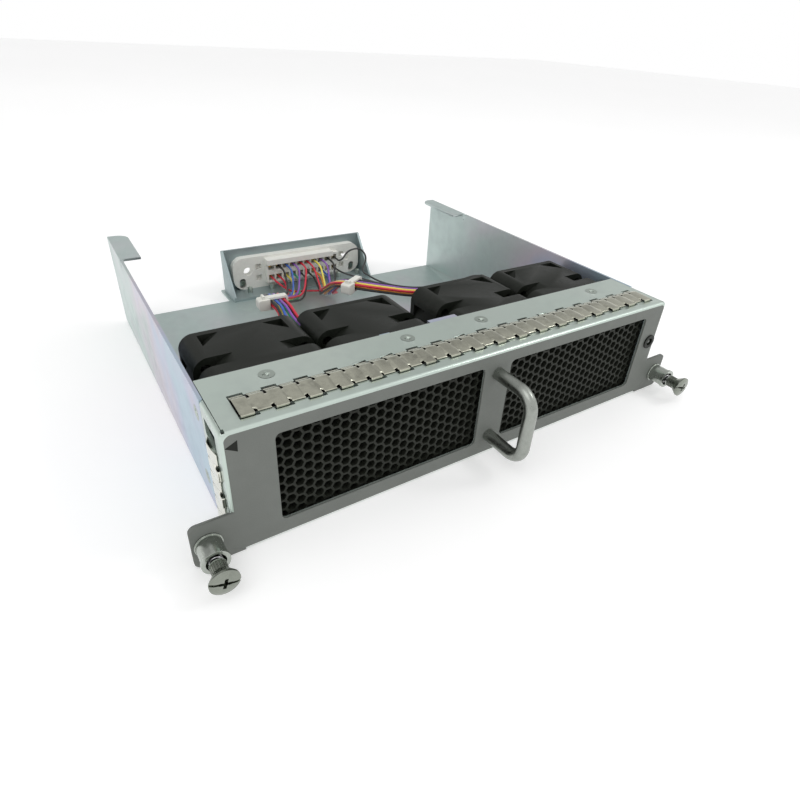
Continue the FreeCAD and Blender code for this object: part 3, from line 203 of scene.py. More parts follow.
def wear(thing, material):
    """Gives an object one material in place of those that it has."""
    thing.data.materials.clear()
    thing.data.materials.append(material)


def make_piece(name, points, faces, node, smooth=True):
    """A mesh object from arrays, riding on a node's body and wearing that node's finish."""
    mesh = bpy.data.meshes.new(name)
    mesh.from_pydata([tuple(p) for p in points], [], [tuple(f) for f in faces])
    mesh.validate()
    piece = new_object(name, mesh)
    if smooth:
        mesh.shade_smooth()
        mesh.set_sharp_from_angle(angle=math.radians(PIECE_SEAM))
    dress(piece, node)
    return piece


def dress(piece, node):
    """Puts a piece on a node's body and gives it the node's finish."""
    wear(piece, finish_of(FINISH_OF_NODE.get(node, SLOTS[node])))
    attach(piece, bodies[node])


def smooth_copy(node, name, bevel):
    """A copy of a CAD node with its doubles merged, its curved faces smooth and its edges slightly broken.

    Where no edge is broken, a corner's normal follows its largest faces, so that flat sheet stays flat up to
    its bends.
    """
    source = frame["nodes"][node]
    work = bmesh.new()
    work.from_mesh(source.data)
    bmesh.ops.remove_doubles(work, verts=work.verts, dist=MERGE_REACH)
    if bevel:
        bmesh.ops.dissolve_limit(work, angle_limit=math.radians(FLAT_ANGLE), verts=work.verts,
                                 edges=work.edges)
    mesh = bpy.data.meshes.new(name)
    work.to_mesh(mesh)
    work.free()
    piece = new_object(name, mesh)
    mesh.shade_smooth()
    mesh.set_sharp_from_angle(angle=math.radians(COPY_SEAM))
    if bevel:
        edge = piece.modifiers.new("broken_edges", "BEVEL")
        edge.width = bevel * MM
        edge.segments = 2
        edge.limit_method = "ANGLE"
        edge.angle_limit = math.radians(COPY_SEAM)
        edge.use_clamp_overlap = True
        edge.harden_normals = True
    else:
        flat = piece.modifiers.new("flat_faces_stay_flat", "WEIGHTED_NORMAL")
        flat.mode = "FACE_AREA"
        flat.keep_sharp = True
    dress(piece, node)
    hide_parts(node)


def grid_faces(rows, columns, wrap=False):
    """Quads of a grid of points, row by row. With wrap the last column joins the first."""
    strips = columns if wrap else columns - 1
    row, column = np.meshgrid(np.arange(rows - 1), np.arange(strips), indexing="ij")
    row, column = row.ravel(), column.ravel()
    after = (column + 1) % columns
    here, above = row * columns, (row + 1) * columns
    return np.stack([here + column, here + after, above + after, above + column], axis=1)


def tube(path, radius, sides):
    """A round wire along a path of points, closed at both ends.

    At each point a circle of the radius stands square to the path. Its first direction is square to the path
    and to a slanting line, and is carried along by taking away the part that lies along the new direction.
    """
    path = np.asarray(path, float)
    ahead = np.gradient(path, axis=0)
    ahead /= np.linalg.norm(ahead, axis=1)[:, None]
    side = np.cross(ahead[0], SLANT)
    frames = []
    for direction in ahead:
        side = side - direction * np.dot(side, direction)
        side = side / np.linalg.norm(side)
        frames.append(side)
    across = np.array(frames)
    up = np.cross(ahead, across)
    turn = np.linspace(0, 2 * np.pi, sides, endpoint=False)
    rings = (path[:, None, :] + radius * np.cos(turn)[None, :, None] * across[:, None, :]
             + radius * np.sin(turn)[None, :, None] * up[:, None, :])
    points = rings.reshape(-1, 3)
    faces = [tuple(f) for f in grid_faces(len(path), sides, wrap=True)]
    faces.append(tuple(range(sides))[::-1])
    faces.append(tuple(range((len(path) - 1) * sides, len(path) * sides)))
    return points, faces


# Materials

def add(tree, kind, **settings):
    """A shader node with its plain settings."""
    made = tree.nodes.new(kind)
    for key, value in settings.items():
        setattr(made, key, value)
    return made


def feed(tree, target, **values):
    """Sets or links inputs of a node. Names use _ for a space, and i0, i1 and so on count the inputs."""
    for key, value in values.items():
        by_number = key[0] == "i" and key[1:].isdigit()
        socket = target.inputs[int(key[1:]) if by_number else key.replace("_", " ")]
        if isinstance(value, bpy.types.NodeSocket):
            tree.links.new(value, socket)
        else:
            socket.default_value = value


def maths(tree, operation, first, second=0.0, clamp=False):
    """One Math node."""
    made = add(tree, "ShaderNodeMath", operation=operation, use_clamp=clamp)
    feed(tree, made, i0=first, i1=second)
    return made.outputs[0]


def blend_colour(tree, share, first, second):
    """One colour Mix node: the share goes from the first colour to the second."""
    made = add(tree, "ShaderNodeMix", data_type="RGBA", blend_type="MIX")
    for index, value in ((0, share), (6, first), (7, second)):
        if isinstance(value, bpy.types.NodeSocket):
            tree.links.new(value, made.inputs[index])
        else:
            made.inputs[index].default_value = value
    return made.outputs[2]


def stretch(tree, value, low, high, to_low=0.0, to_high=1.0):
    """Maps a value's range to another, held at its ends."""
    made = add(tree, "ShaderNodeMapRange", clamp=True)
    feed(tree, made, i0=value, i1=low, i2=high, i3=to_low, i4=to_high)
    return made.outputs[0]


def start_group(name, inputs, outputs):
    """An empty node group with named inputs and outputs."""
    tree = bpy.data.node_groups.new(name, "ShaderNodeTree")
    for label, kind, value in inputs:
        socket = tree.interface.new_socket(label, in_out="INPUT", socket_type=kind)
        socket.default_value = value
    for label, kind in outputs:
        tree.interface.new_socket(label, in_out="OUTPUT", socket_type=kind)
    return tree, add(tree, "NodeGroupInput"), add(tree, "NodeGroupOutput")


def object_point(tree):
    """Object coordinates in millimetres."""
    where = add(tree, "ShaderNodeTexCoord")
    sized = add(tree, "ShaderNodeVectorMath", operation="SCALE")
    feed(tree, sized, i0=where.outputs["Object"])
    sized.inputs[3].default_value = 1 / MM
    return sized.outputs[0]


FLOAT, COLOUR, VECTOR = "NodeSocketFloat", "NodeSocketColor", "NodeSocketVector"


def grain_group():
    """Fine grain: noise of a given size in millimetres, as a value and as a bumped normal. It is drawn out
    along an axis whose share in Direction is under 1."""
    tree, given, result = start_group(
        "fine_grain", [("Size", FLOAT, 0.2), ("Depth", FLOAT, 0.1), ("Direction", VECTOR, (1, 1, 1))],
        [("Value", FLOAT), ("Normal", VECTOR)])
    shaped = add(tree, "ShaderNodeVectorMath", operation="MULTIPLY")
    feed(tree, shaped, i0=object_point(tree), i1=given.outputs["Direction"])
    noise = add(tree, "ShaderNodeTexNoise")
    feed(tree, noise, Vector=shaped.outputs[0], Scale=maths(tree, "DIVIDE", 1.0, given.outputs["Size"]),
         Detail=3.0, Roughness=0.6)
    bump = add(tree, "ShaderNodeBump")
    feed(tree, bump, Height=noise.outputs[0], Strength=given.outputs["Depth"], Distance=0.0001)
    feed(tree, result, Value=noise.outputs[0], Normal=bump.outputs[0])
    return tree


def smudge_group():
    """Soft uneven handling marks: two large noises multiplied, as a value from 0 to 1."""
    tree, given, result = start_group("smudges", [("Size", FLOAT, 20.0)], [("Value", FLOAT)])
    point = object_point(tree)
    values = []
    for share, detail in ((1.0, 2.0), (0.23, 5.0)):
        noise = add(tree, "ShaderNodeTexNoise")
        size = maths(tree, "MULTIPLY", given.outputs["Size"], share)
        feed(tree, noise, Vector=point, Scale=maths(tree, "DIVIDE", 1.0, size), Detail=detail, Roughness=0.55)
        values.append(stretch(tree, noise.outputs[0], *SMUDGE_RANGE))
    feed(tree, result, Value=maths(tree, "MULTIPLY", values[0], values[1]))
    return tree


def rainbow_group():
    """Thin colour of a zinc finish: wide drifting bands along Y, from blue in front over lilac and rose to
    grey, mixed into a base colour."""
    tree, given, result = start_group(
        "zinc_rainbow", [("Base", COLOUR, (0.5, 0.5, 0.5, 1)), ("Amount", FLOAT, 0.3), ("Size", FLOAT, 30.0)],
        [("Color", COLOUR)])
    point = object_point(tree)
    noise = add(tree, "ShaderNodeTexNoise")
    feed(tree, noise, Vector=point, Scale=maths(tree, "DIVIDE", 1.0, given.outputs["Size"]), Detail=1.5,
         Roughness=0.45, Distortion=0.3)
    split = add(tree, "ShaderNodeSeparateXYZ")
    feed(tree, split, Vector=point)
    drift = stretch(tree, noise.outputs[0], *NOISE_RANGE, -RAINBOW_DRIFT, RAINBOW_DRIFT)
    along = stretch(tree, split.outputs[1], panel_y / MM, panel_y / MM + RAINBOW_LENGTH)
    ramp = add(tree, "ShaderNodeValToRGB")
    while len(ramp.color_ramp.elements) < len(RAINBOW_TINTS):
        ramp.color_ramp.elements.new(0.5)
    for element, (position, colour) in zip(ramp.color_ramp.elements, RAINBOW_TINTS):
        element.position = position
        element.color = (*colour, 1)
    feed(tree, ramp, Fac=maths(tree, "ADD", along, drift, clamp=True))
    film = blend_colour(tree, given.outputs["Amount"], given.outputs["Base"], ramp.outputs[0])
    feed(tree, result, Color=film)
    return tree


def speck_group():
    """Small specks of dust: a dot at the middle of each cell of a cell pattern, as a mask."""
    tree, given, result = start_group(
        "specks", [("Size", FLOAT, 0.5), ("Share", FLOAT, 0.1)], [("Value", FLOAT)])
    cells = add(tree, "ShaderNodeTexVoronoi")
    feed(tree, cells, Vector=object_point(tree), Scale=maths(tree, "DIVIDE", 1.0, given.outputs["Size"]))
    reach = maths(tree, "MULTIPLY", given.outputs["Share"], 0.5)
    near = maths(tree, "LESS_THAN", cells.outputs["Distance"], reach)
    feed(tree, result, Value=near)
    return tree


GRAIN, SMUDGES, RAINBOW, SPECKS = grain_group(), smudge_group(), rainbow_group(), speck_group()


def use(tree, group, **values):
    """Places a group in a material."""
    made = add(tree, "ShaderNodeGroup", node_tree=group)
    feed(tree, made, **values)
    return made


def start_material(name, metal=0.0, rough=0.5):
    """A material with its shader: constants sit on the shader's own sockets."""
    material = bpy.data.materials.new(name)
    material.use_nodes = True
    tree = material.node_tree
    shader = next(n for n in tree.nodes if n.type == "BSDF_PRINCIPLED")
    shader.inputs["Metallic"].default_value = metal
    shader.inputs["Roughness"].default_value = rough
    return material, tree, shader


def coated_sheet(name, base, rainbow, rough):
    """Zinc plated sheet: faint rainbow, fine rolled grain and handling marks."""
    material, tree, shader = start_material(name, metal=0.75)
    film = use(tree, RAINBOW, Base=(*base, 1), Amount=rainbow, Size=26.0)
    marks = use(tree, SMUDGES, Size=24.0)
    grain = use(tree, GRAIN, Size=0.5, Depth=0.12, Direction=(0.25, 1, 1))
    share = maths(tree, "MULTIPLY", marks.outputs[0], 0.22)
    darker = blend_colour(tree, share, film.outputs[0], HANDLED_SHEET)
    feed(tree, shader, Base_Color=darker, Normal=grain.outputs["Normal"],
         Roughness=stretch(tree, marks.outputs[0], 0, 1, rough, rough + 0.16))
    return material


def rectangle_mask(tree, point, middle, half, corner):
    """1 inside a rectangle with rounded corners in X and Z: the distance past the shrunk half sizes is under
    the corner radius."""
    away = add(tree, "ShaderNodeVectorMath", operation="SUBTRACT")
    feed(tree, away, i0=point, i1=middle)
    size = add(tree, "ShaderNodeVectorMath", operation="ABSOLUTE")
    feed(tree, size, i0=away.outputs[0])
    past = add(tree, "ShaderNodeVectorMath", operation="SUBTRACT")
    feed(tree, past, i0=size.outputs[0], i1=(half[0] - corner, NO_LIMIT, half[1] - corner))
    held = add(tree, "ShaderNodeVectorMath", operation="MAXIMUM")
    feed(tree, held, i0=past.outputs[0], i1=(0, 0, 0))
    far = add(tree, "ShaderNodeVectorMath", operation="LENGTH")
    feed(tree, far, i0=held.outputs[0])
    return maths(tree, "LESS_THAN", far.outputs["Value"], corner)


def within(tree, value, low, high):
    """1 where a value lies between two others."""
    above = maths(tree, "GREATER_THAN", value, low)
    return maths(tree, "MULTIPLY", above, maths(tree, "LESS_THAN", value, high))


def strip_shade_mask(tree, split):
    """1 on the part of the top sheet that the finger strip hides, where painted shade darkens the sheet so
    that its slits look dark.
    """
    count, start, depth = TOP_STRIP
    front = panel_y / MM + depth
    along = within(tree, split.outputs[0], start + STRIP_MARGIN, start + count * FINGER_PITCH - STRIP_MARGIN)
    across = within(tree, split.outputs[1], front + STRIP_MARGIN, front + FINGER_DEPTH - STRIP_MARGIN)
    top = maths(tree, "GREATER_THAN", split.outputs[2], PANEL_HEIGHT - STRIP_MARGIN)
    return maths(tree, "MULTIPLY", maths(tree, "MULTIPLY", along, across), top)


def grey_paint():
    """The front: matte grey paint on the face and ears, bare zinc on the bends, the strip and the flanges,
    and painted shade on the sheet under the finger strip.
    """
    material, tree, shader = start_material("grey_paint")
    point = object_point(tree)
    top = PANEL_HEIGHT - PAINT_INSET
    face = rectangle_mask(tree, point, (0, 0, (top + PAINT_FOOT) / 2),
                          (HALF_WIDTH - PAINT_INSET, (top - PAINT_FOOT) / 2), PAINT_CORNER)
    ear_top = EAR_HEIGHT + EAR_PAINT_ABOVE
    ears = rectangle_mask(tree, point, (0, 0, (ear_top + PAINT_FOOT) / 2),
                          (EAR_REACH + EAR_PAINT_PAST, (ear_top - PAINT_FOOT) / 2), EAR_PAINT_CORNER)
    split = add(tree, "ShaderNodeSeparateXYZ")
    feed(tree, split, Vector=point)
    front = maths(tree, "LESS_THAN", split.outputs[1], panel_y / MM + PAINT_DEPTH)
    outside = maths(tree, "GREATER_THAN", maths(tree, "ABSOLUTE", split.outputs[0]),
                    HALF_WIDTH + EAR_PAINT_START)
    ear_share = maths(tree, "MULTIPLY", ears, maths(tree, "MAXIMUM", outside, front))
    painted = maths(tree, "MAXIMUM", maths(tree, "MULTIPLY", face, front), ear_share)
    marks = use(tree, SMUDGES, Size=18.0)
    film = use(tree, RAINBOW, Base=FRONT_ZINC, Amount=0.06, Size=40.0)
    rolled = use(tree, GRAIN, Size=0.5, Depth=0.10, Direction=(0.25, 1, 1))
    pebbled = use(tree, GRAIN, Size=0.22, Depth=0.30)
    handled = maths(tree, "MULTIPLY", marks.outputs[0], 0.2)
    zinc = blend_colour(tree, handled, film.outputs[0], HANDLED_FRONT)
    # painted shade: the sheet under the top finger strip is darkened so that its slits look dark
    zinc = blend_colour(tree, strip_shade_mask(tree, split), zinc, UNDER_STRIP_SHADE)
    shade = stretch(tree, pebbled.outputs["Value"], *NOISE_RANGE)
    paint = blend_colour(tree, shade, PAINT_DARK, PAINT_PALE)
    rubbed = maths(tree, "MULTIPLY", marks.outputs[0], 0.35)
    paint = blend_colour(tree, rubbed, paint, PAINT_RUBBED)
    normal = add(tree, "ShaderNodeMix", data_type="VECTOR")
    tree.links.new(painted, normal.inputs[0])
    tree.links.new(rolled.outputs["Normal"], normal.inputs[4])
    tree.links.new(pebbled.outputs["Normal"], normal.inputs[5])
    feed(tree, shader, Base_Color=blend_colour(tree, painted, zinc, paint), Normal=normal.outputs[1],
         Metallic=stretch(tree, painted, 0, 1, 0.75, 0.0), Roughness=stretch(tree, painted, 0, 1, 0.28, 0.62))
    return material


def plain_metal(name, base, rough, size, depth, direction=(1, 1, 1), metal=1.0, tarnish=0.15, shine=0.5):
    """Bare or plated metal with fine tool marks and slight tarnish."""
    material, tree, shader = start_material(name, metal=metal)
    shader.inputs["Specular IOR Level"].default_value = shine
    marks = use(tree, SMUDGES, Size=7.0)
    grain = use(tree, GRAIN, Size=size, Depth=depth, Direction=direction)
    dark = tuple(c * 0.6 for c in base)
    tone = blend_colour(tree, maths(tree, "MULTIPLY", marks.outputs[0], tarnish * 3), (*base, 1), (*dark, 1))
    tone = blend_colour(tree, maths(tree, "MULTIPLY", grain.outputs["Value"], tarnish), tone, (*dark, 1))
    feed(tree, shader, Base_Color=tone, Normal=grain.outputs["Normal"],
         Roughness=stretch(tree, grain.outputs["Value"], *NOISE_RANGE, rough - 0.05, rough + 0.08))
    return material


def moulded(name, base, rough, size, depth, dust, light=(0.5, 0.5, 0.48), shine=0.5):
    """Moulded plastic: pebbled skin, slightly uneven tone and a little dust."""
    material, tree, shader = start_material(name)
    shader.inputs["Specular IOR Level"].default_value = shine
    marks = use(tree, SMUDGES, Size=9.0)
    grain = use(tree, GRAIN, Size=size, Depth=depth)
    specks = use(tree, SPECKS, Size=1.3, Share=0.08)
    tone = blend_colour(tree, maths(tree, "MULTIPLY", marks.outputs[0], dust), (*base, 1), (*light, 1))
    tone = blend_colour(tree, maths(tree, "MULTIPLY", specks.outputs[0], dust), tone, (*light, 1))
    feed(tree, shader, Base_Color=tone, Normal=grain.outputs["Normal"],
         Roughness=stretch(tree, marks.outputs[0], 0, 1, rough, rough + 0.14))
    return material


def insulation(name, base):
    """Smooth wire insulation with faint drawn streaks."""
    material, tree, shader = start_material(name)
    marks = use(tree, SMUDGES, Size=4.0)
    grain = use(tree, GRAIN, Size=0.3, Depth=0.06)
    dark = tuple(c * 0.62 for c in base)
    tone = blend_colour(tree, maths(tree, "MULTIPLY", marks.outputs[0], 0.5), (*base, 1), (*dark, 1))
    feed(tree, shader, Base_Color=tone, Normal=grain.outputs["Normal"],
         Roughness=stretch(tree, grain.outputs["Value"], *NOISE_RANGE, 0.3, 0.42))
    return material


def lamp_lens():
    """Dark smoked lens with a faint cloudy core."""
    material, tree, shader = start_material("lamp_lens", rough=0.12)
    marks = use(tree, SMUDGES, Size=1.4)
    tone = blend_colour(tree, marks.outputs[0], LENS_DARK, LENS_CLOUD)
    feed(tree, shader, Base_Color=tone)
    shader.inputs["Coat Weight"].default_value = 0.8
    return material


INSULATION = {
    "red": (0.62, 0.02, 0.05), "black": (0.018, 0.018, 0.018), "yellow": (0.82, 0.72, 0.10),
    "blue": (0.05, 0.13, 0.50), "green": (0.04, 0.36, 0.20), "purple": (0.26, 0.10, 0.45),
    "orange": (0.82, 0.33, 0.05), "grey": (0.05, 0.05, 0.05),
}

# What coated_sheet, plain_metal and moulded are told for each finish
SHEETS = {
    "zinc_sheet": dict(base=(0.48, 0.54, 0.53), rainbow=0.55, rough=0.36),
    "dull_zinc": dict(base=(0.34, 0.41, 0.42), rainbow=0.12, rough=0.4),
}
METALS = {
    "dark_steel": dict(base=(0.29, 0.31, 0.27), rough=0.22, size=0.5, depth=0.04, tarnish=0.25),
    "flush_zinc": dict(base=(0.46, 0.52, 0.47), rough=0.34, size=0.4, depth=0.04),
    "honeycomb_foil": dict(base=(0.018, 0.020, 0.015), rough=0.5, size=0.5, depth=0.15, metal=0.0,
                           shine=0.2),
    "gasket_metal": dict(base=(0.55, 0.55, 0.455), rough=0.16, size=1.1, depth=0.07,
                         direction=(1, 0.35, 1), tarnish=0.3),
    "bright_gasket": dict(base=(0.80, 0.80, 0.72), rough=0.2, size=1.1, depth=0.05, direction=(1, 1, 0.35)),
    "satin_aluminium": dict(base=(0.36, 0.38, 0.35), rough=0.3, size=0.35, depth=0.06, direction=(1, 1, 0.2)),
    "screw_steel": dict(base=(0.45, 0.48, 0.44), rough=0.2, size=0.5, depth=0.025),
    "spring_steel": dict(base=(0.55, 0.55, 0.56), rough=0.28, size=0.2, depth=0.05),
    "ground_steel": dict(base=(0.7, 0.7, 0.7), rough=0.18, size=0.15, depth=0.03),
    "core_steel": dict(base=(0.32, 0.33, 0.35), rough=0.4, size=0.25, depth=0.3, direction=(1, 3, 1)),
    "enamelled_copper": dict(base=(0.72, 0.30, 0.12), rough=0.3, size=0.2, depth=0.4, direction=(1, 4, 1)),
    "contact_brass": dict(base=(0.75, 0.55, 0.24), rough=0.25, size=0.2, depth=0.05),
}
PLASTICS = {
    "foam": dict(base=(0.02, 0.02, 0.02), rough=0.85, size=0.5, depth=0.9, dust=0.05),
    "black_plastic": dict(base=(0.0075, 0.0095, 0.0065), rough=0.42, size=0.3, depth=0.22, dust=0.02,
                          shine=0.2),
    "ferrite": dict(base=(0.03, 0.028, 0.028), rough=0.6, size=0.2, depth=0.2, dust=0.05),
    "board": dict(base=(0.03, 0.17, 0.07), rough=0.4, size=0.4, depth=0.1, dust=0.05),
    "ivory_plastic": dict(base=(0.78, 0.78, 0.73), rough=0.36, size=0.4, depth=0.08, dust=0.2,
                          light=(0.46, 0.46, 0.42)),
    "tie_nylon": dict(base=(0.75, 0.75, 0.69), rough=0.38, size=0.3, depth=0.1, dust=0.15,
                      light=(0.5, 0.5, 0.46)),
}
KINDS = ((SHEETS, coated_sheet), (METALS, plain_metal), (PLASTICS, moulded))
OTHERS = {"grey_paint": grey_paint, "lamp_lens": lamp_lens}

# Nodes that look different from the rest of their slot
FINISH_OF_NODE = {
    "connector_bracket": "dull_zinc", "countersunk_screws": "flush_zinc", "side_gaskets": "bright_gasket",
    "left_thumbscrew": "dark_steel", "right_thumbscrew": "dark_steel",
}

SLOTS = {entry["node"]: entry["material_slot"] for entry in frame["record"]["subparts"]}
made_finishes = {}


def make_finish(name):
    """The material of one finish. What stands in no table is wire insulation, named for its colour."""
    for table, make in KINDS:
        if name in table:
            return make(name, **table[name])
    if name in OTHERS:
        return OTHERS[name]()
    return insulation(name, INSULATION[name.split("_")[0]])


def finish_of(name):
    """The material of a finish, built the first time it is asked for."""
    if name not in made_finishes:
        made_finishes[name] = make_finish(name)
    return made_finishes[name]


def dress_frame():
    """Gives every CAD node its finish."""
    for node, thing in frame["nodes"].items():
        wear(thing, finish_of(FINISH_OF_NODE.get(node, SLOTS[node])))


# Pieces

# For each visible solid, the name of its smooth copy and the width of its broken edges in millimetres
SOFTENED = {
    "tray_pan": ("folded_tray", 0.0),
    "front_bezel": ("folded_front", 0.0),
    "fan_plate": ("fan_carrier_plate", 0.0),
    "connector_bracket": ("rear_bracket", 0.12),
    "connector_housing": ("white_connector", 0.2),
    "connector_fixings": ("connector_fixing_screws", 0.0),
    "pull_handle": ("bent_rod_handle", 0.0),
    "handle_screws": ("handle_fixing_screws", 0.0),
    "lamp_holder": ("lamp_bezel", 0.12),
    "status_lamp": ("lamp", 0.0),
    "countersunk_screws": ("flush_screws", 0.0),
    "cable_ties": ("nylon_ties", 0.15),
    "left_ferrule": ("left_screw_barrel", 0.08),
    "right_ferrule": ("right_screw_barrel", 0.08),
    "left_thumbscrew": ("left_captive_screw", 0.05),
    "right_thumbscrew": ("right_captive_screw", 0.05),
    "lamp_leads": ("lamp_wires", 0.0),
}
for number in (1, 2, 3, 4):
    SOFTENED["fan_%d_frame" % number] = ("fan_%d_housing" % number, 0.25)
    SOFTENED["fan_%d_impeller" % number] = ("fan_%d_blades" % number, 0.0)
for colour_name in INSULATION:
    if colour_name + "_leads" in frame["nodes"]:
        SOFTENED[colour_name + "_leads"] = (colour_name + "_wires", 0.0)


def softened_pieces():
    """A smooth copy of every solid in the table."""
    for node, (name, bevel) in SOFTENED.items():
        smooth_copy(node, name, bevel)


def printed_mark():
    """The small dark triangle printed near the top left corner of the face."""
    points = placed([(x, -MARK_LIFT, z) for x, z in MARK_CORNERS] + [(x, 0, z) for x, z in MARK_CORNERS])
    faces = [(0, 2, 1), (3, 4, 5), (0, 1, 4, 3), (1, 2, 5, 4), (2, 0, 3, 5)]
    piece = make_piece("printed_triangle", points, faces, "front_bezel", smooth=False)
    wear(piece, finish_of("black_plastic"))


def finger_sheet(count):
    """The skin of a finger strip along X, as points and faces in millimetres.

    Each row of points runs along the strip, at one distance behind its front edge. The height rises with
    that distance as a quarter sine up to the crest and falls from there to the heel as half a cosine. Every
    second finger starts high in front, where it bends down into a hook, and has a foot behind; the others
    start low. Across a finger the skin dips by the fourth power of the distance from the finger's middle.
    Fingers are parted by slits behind and notches in front, and the cells in them are left out. The gap on
    a tall finger's right is wider in front by the two cells beside it.
    """
    slit_edge, notch_edge = FINGER_SLIT_WIDTH / 2, FINGER_NOTCH_WIDTH / 2
    inner = np.linspace(notch_edge, FINGER_PITCH - notch_edge, FINGER_COLUMNS)
    one = np.concatenate([[slit_edge], inner, [FINGER_PITCH - slit_edge]])
    along = (np.arange(count)[:, None] * FINGER_PITCH + one[None, :]).ravel()
    finger = np.repeat(np.arange(count), len(one))
    slit_row = FINGER_DEPTH - FINGER_SLIT
    rise_rows = np.concatenate([[0, FRONT_LINE], np.linspace(FINGER_NOTCH, slit_row, NOTCH_ROWS),
                                np.linspace(slit_row, FINGER_DEPTH, SLIT_ROWS)[1:]])
    front = np.clip(rise_rows / FINGER_CREST, 0, 1)
    rear = np.clip((rise_rows - FINGER_CREST) / (FINGER_DEPTH - FINGER_CREST), 0, 1)
    fall = (1 + np.cos(rear * np.pi)) / 2
    across = np.concatenate([HOOK_LINES, rise_rows, [FINGER_DEPTH]])
    profiles = []
    for start in (TALL_START, LOW_START):
        height = (start + (1 - start) * np.sin(front * np.pi / 2)) * fall
        lip = start * np.array(HOOK_SHARES)
        profiles.append(np.concatenate([[-HOOK_DROP], FINGER_RISE * lip, FINGER_RISE * height, [-HOOK_DROP]]))
    height = np.where(finger[None, :] % 2 == 0, profiles[0][:, None], profiles[1][:, None])
    away = np.abs((along % FINGER_PITCH) / FINGER_PITCH - 0.5) * 2
    dip = FINGER_CROWN * away[None, :] ** 4 * np.clip(height / FINGER_RISE, 0, 1)
    x, y = np.meshgrid(along, across)
    points = np.stack([x, y, height - dip], axis=-1).reshape(-1, 3)
    rows, columns = len(across), len(along)
    faces = grid_faces(rows, columns)
    row, column = faces[:, 0] // columns, faces[:, 0] % columns
    middle = (across[row] + across[np.minimum(row + 1, rows - 1)]) / 2
    between = finger[column] != finger[np.minimum(column + 1, columns - 1)]
    tall = finger[column] % 2 == 0
    left_edge, right_edge = column % len(one) == 0, column % len(one) == len(one) - 2
    notch = between | (tall & right_edge) | (~tall & left_edge)
    hook_or_foot = (row < len(HOOK_LINES)) | (row == rows - 2)
    keep = ~(between & (middle > slit_row)) & ~(notch & (middle < FINGER_NOTCH))
    keep &= ~(hook_or_foot & (~tall | between | left_edge | right_edge))
    return points, faces[keep]


def finger_strip(name, points, faces, node):
    """A strip's skin given its thickness, in place of the node's plain solid."""
    piece = make_piece(name, placed(points), faces, node)
    skin = piece.modifiers.new("skin", "SOLIDIFY")
    skin.thickness = FINGER_SKIN * MM
    skin.offset = -1
    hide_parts(node)


def finger_strips():
    """The bright finger strips: one on the top, and one upright on each side."""
    count, start, depth = TOP_STRIP
    points, faces = finger_sheet(count)
    finger_strip("top_finger_strip", points + np.array([start, depth, PANEL_HEIGHT]), faces, "top_gasket")
    count, bottom, depth = SIDE_STRIP
    points, faces = finger_sheet(count)
    x, y, z = points.T
    left = np.stack([-HALF_WIDTH - z, y + depth, x + bottom], axis=1)
    right = np.stack([HALF_WIDTH + z, y + depth, bottom + count * FINGER_PITCH - x], axis=1)
    finger_strip("left_finger_strip", left, faces, "side_gaskets")
    finger_strip("right_finger_strip", right, faces, "side_gaskets")


def screw_spring(side, name):
    """The coil spring of a captive screw.

    Its middle line is a circle of the spring's radius that moves along Y in step with the angle, except for
    half a turn at each end that stays in its plane, as on closed ends.
    """
    low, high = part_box(name)
    length = (high.y - low.y) / MM - 2 * SPRING_WIRE
    share = np.linspace(0, 1, SPRING_POINTS)
    angle = share * (SPRING_TURNS + 1) * 2 * np.pi
    rise = np.clip((share * (SPRING_TURNS + 1) - 0.5) / SPRING_TURNS, 0, 1)
    start = (low.y - panel_y) / MM + SPRING_WIRE
    path = np.stack([side * SCREW_X + SPRING_RADIUS * np.cos(angle), start + length * rise,
                     SCREW_Z + SPRING_RADIUS * np.sin(angle)], axis=1)
    points, faces = tube(path, SPRING_WIRE, SPRING_SIDES)
    piece = make_piece(name + "_coil", placed(points), faces, name)
    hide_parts(name)
    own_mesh(piece)


# Surroundings

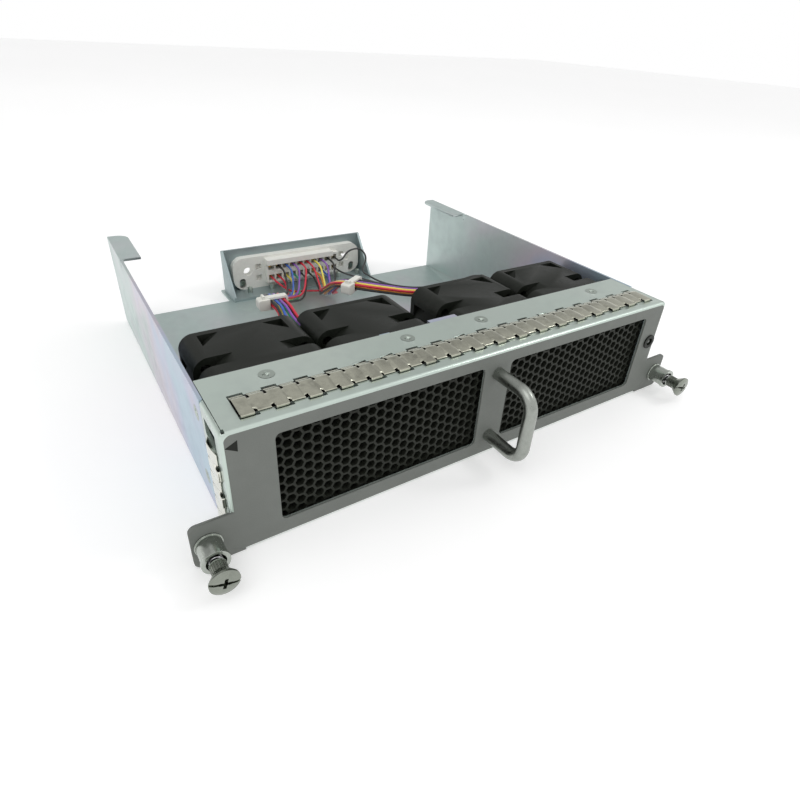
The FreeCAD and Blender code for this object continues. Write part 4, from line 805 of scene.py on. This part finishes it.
def floor():
    """The pale table the tray stands on."""
    mesh = bpy.data.meshes.new("table")
    corners = [(x * TABLE_HALF, y * TABLE_HALF, TABLE_LEVEL) for x, y in ((-1, -1), (1, -1), (1, 1), (-1, 1))]
    mesh.from_pydata(corners, [], [(0, 1, 2, 3)])
    table = new_object("table", mesh)
    material, tree, shader = start_material("white_table", rough=0.7)
    marks = use(tree, SMUDGES, Size=300.0)
    tone = blend_colour(tree, marks.outputs[0], TABLE_WHITE, TABLE_BRIGHT)
    feed(tree, shader, Base_Color=tone)
    shader.inputs["Emission Color"].default_value = (1, 1, 1, 1)
    shader.inputs["Emission Strength"].default_value = TABLE_GLOW
    mesh.materials.append(material)


def light(name, where, power, size):
    """A square area light that faces the frame's origin."""
    data = bpy.data.lights.new(name, "AREA")
    data.energy = power
    data.size = size
    lamp = new_object(name, data)
    lamp.location = where
    lamp.rotation_euler = Vector(where).to_track_quat("Z", "Y").to_euler()


def studio():
    """White surroundings whose light falls off behind and above the tray, though the camera sees them white,
    and the soft lights."""
    scene = bpy.context.scene
    scene.view_settings.view_transform = "Standard"
    world = bpy.data.worlds.new("white_room")
    world.use_nodes = True
    tree = world.node_tree
    sky = tree.nodes["Background"]
    sky.inputs["Color"].default_value = (1.0, 1.0, 1.0, 1)
    toward = add(tree, "ShaderNodeTexCoord")
    split = add(tree, "ShaderNodeSeparateXYZ")
    feed(tree, split, Vector=toward.outputs["Generated"])
    behind = stretch(tree, split.outputs[1], *FALL_BEHIND)
    raised = stretch(tree, split.outputs[2], *FALL_ABOVE)
    shade = maths(tree, "MULTIPLY", behind, raised)
    room = stretch(tree, shade, 0.0, 1.0, ROOM_LIGHT, ROOM_LIGHT * ROOM_BACK)
    seen = add(tree, "ShaderNodeLightPath")
    strength = maths(tree, "MAXIMUM", room, seen.outputs["Is Camera Ray"])
    feed(tree, sky, Strength=strength)
    scene.world = world
    for name, where, power, size in LIGHTS:
        light(name, where, power, size)


def camera():
    """The camera at the photograph's viewing angle."""
    data = bpy.data.cameras.new("photo_camera")
    data.sensor_width = CAMERA_SENSOR
    data.lens = CAMERA_LENS
    data.shift_x, data.shift_y = CAMERA_SHIFT
    data.clip_start = CAMERA_NEAR
    data.dof.use_dof = False
    eye = new_object("photo_camera", data)
    eye.location = place(*CAMERA_PLACE)
    eye.rotation_euler = [math.radians(a) for a in CAMERA_TURN]
    bpy.context.scene.camera = eye


camera()
studio()
floor()
dress_frame()
softened_pieces()
printed_mark()
finger_strips()
screw_spring(-1, "left_spring")
screw_spring(1, "right_spring")
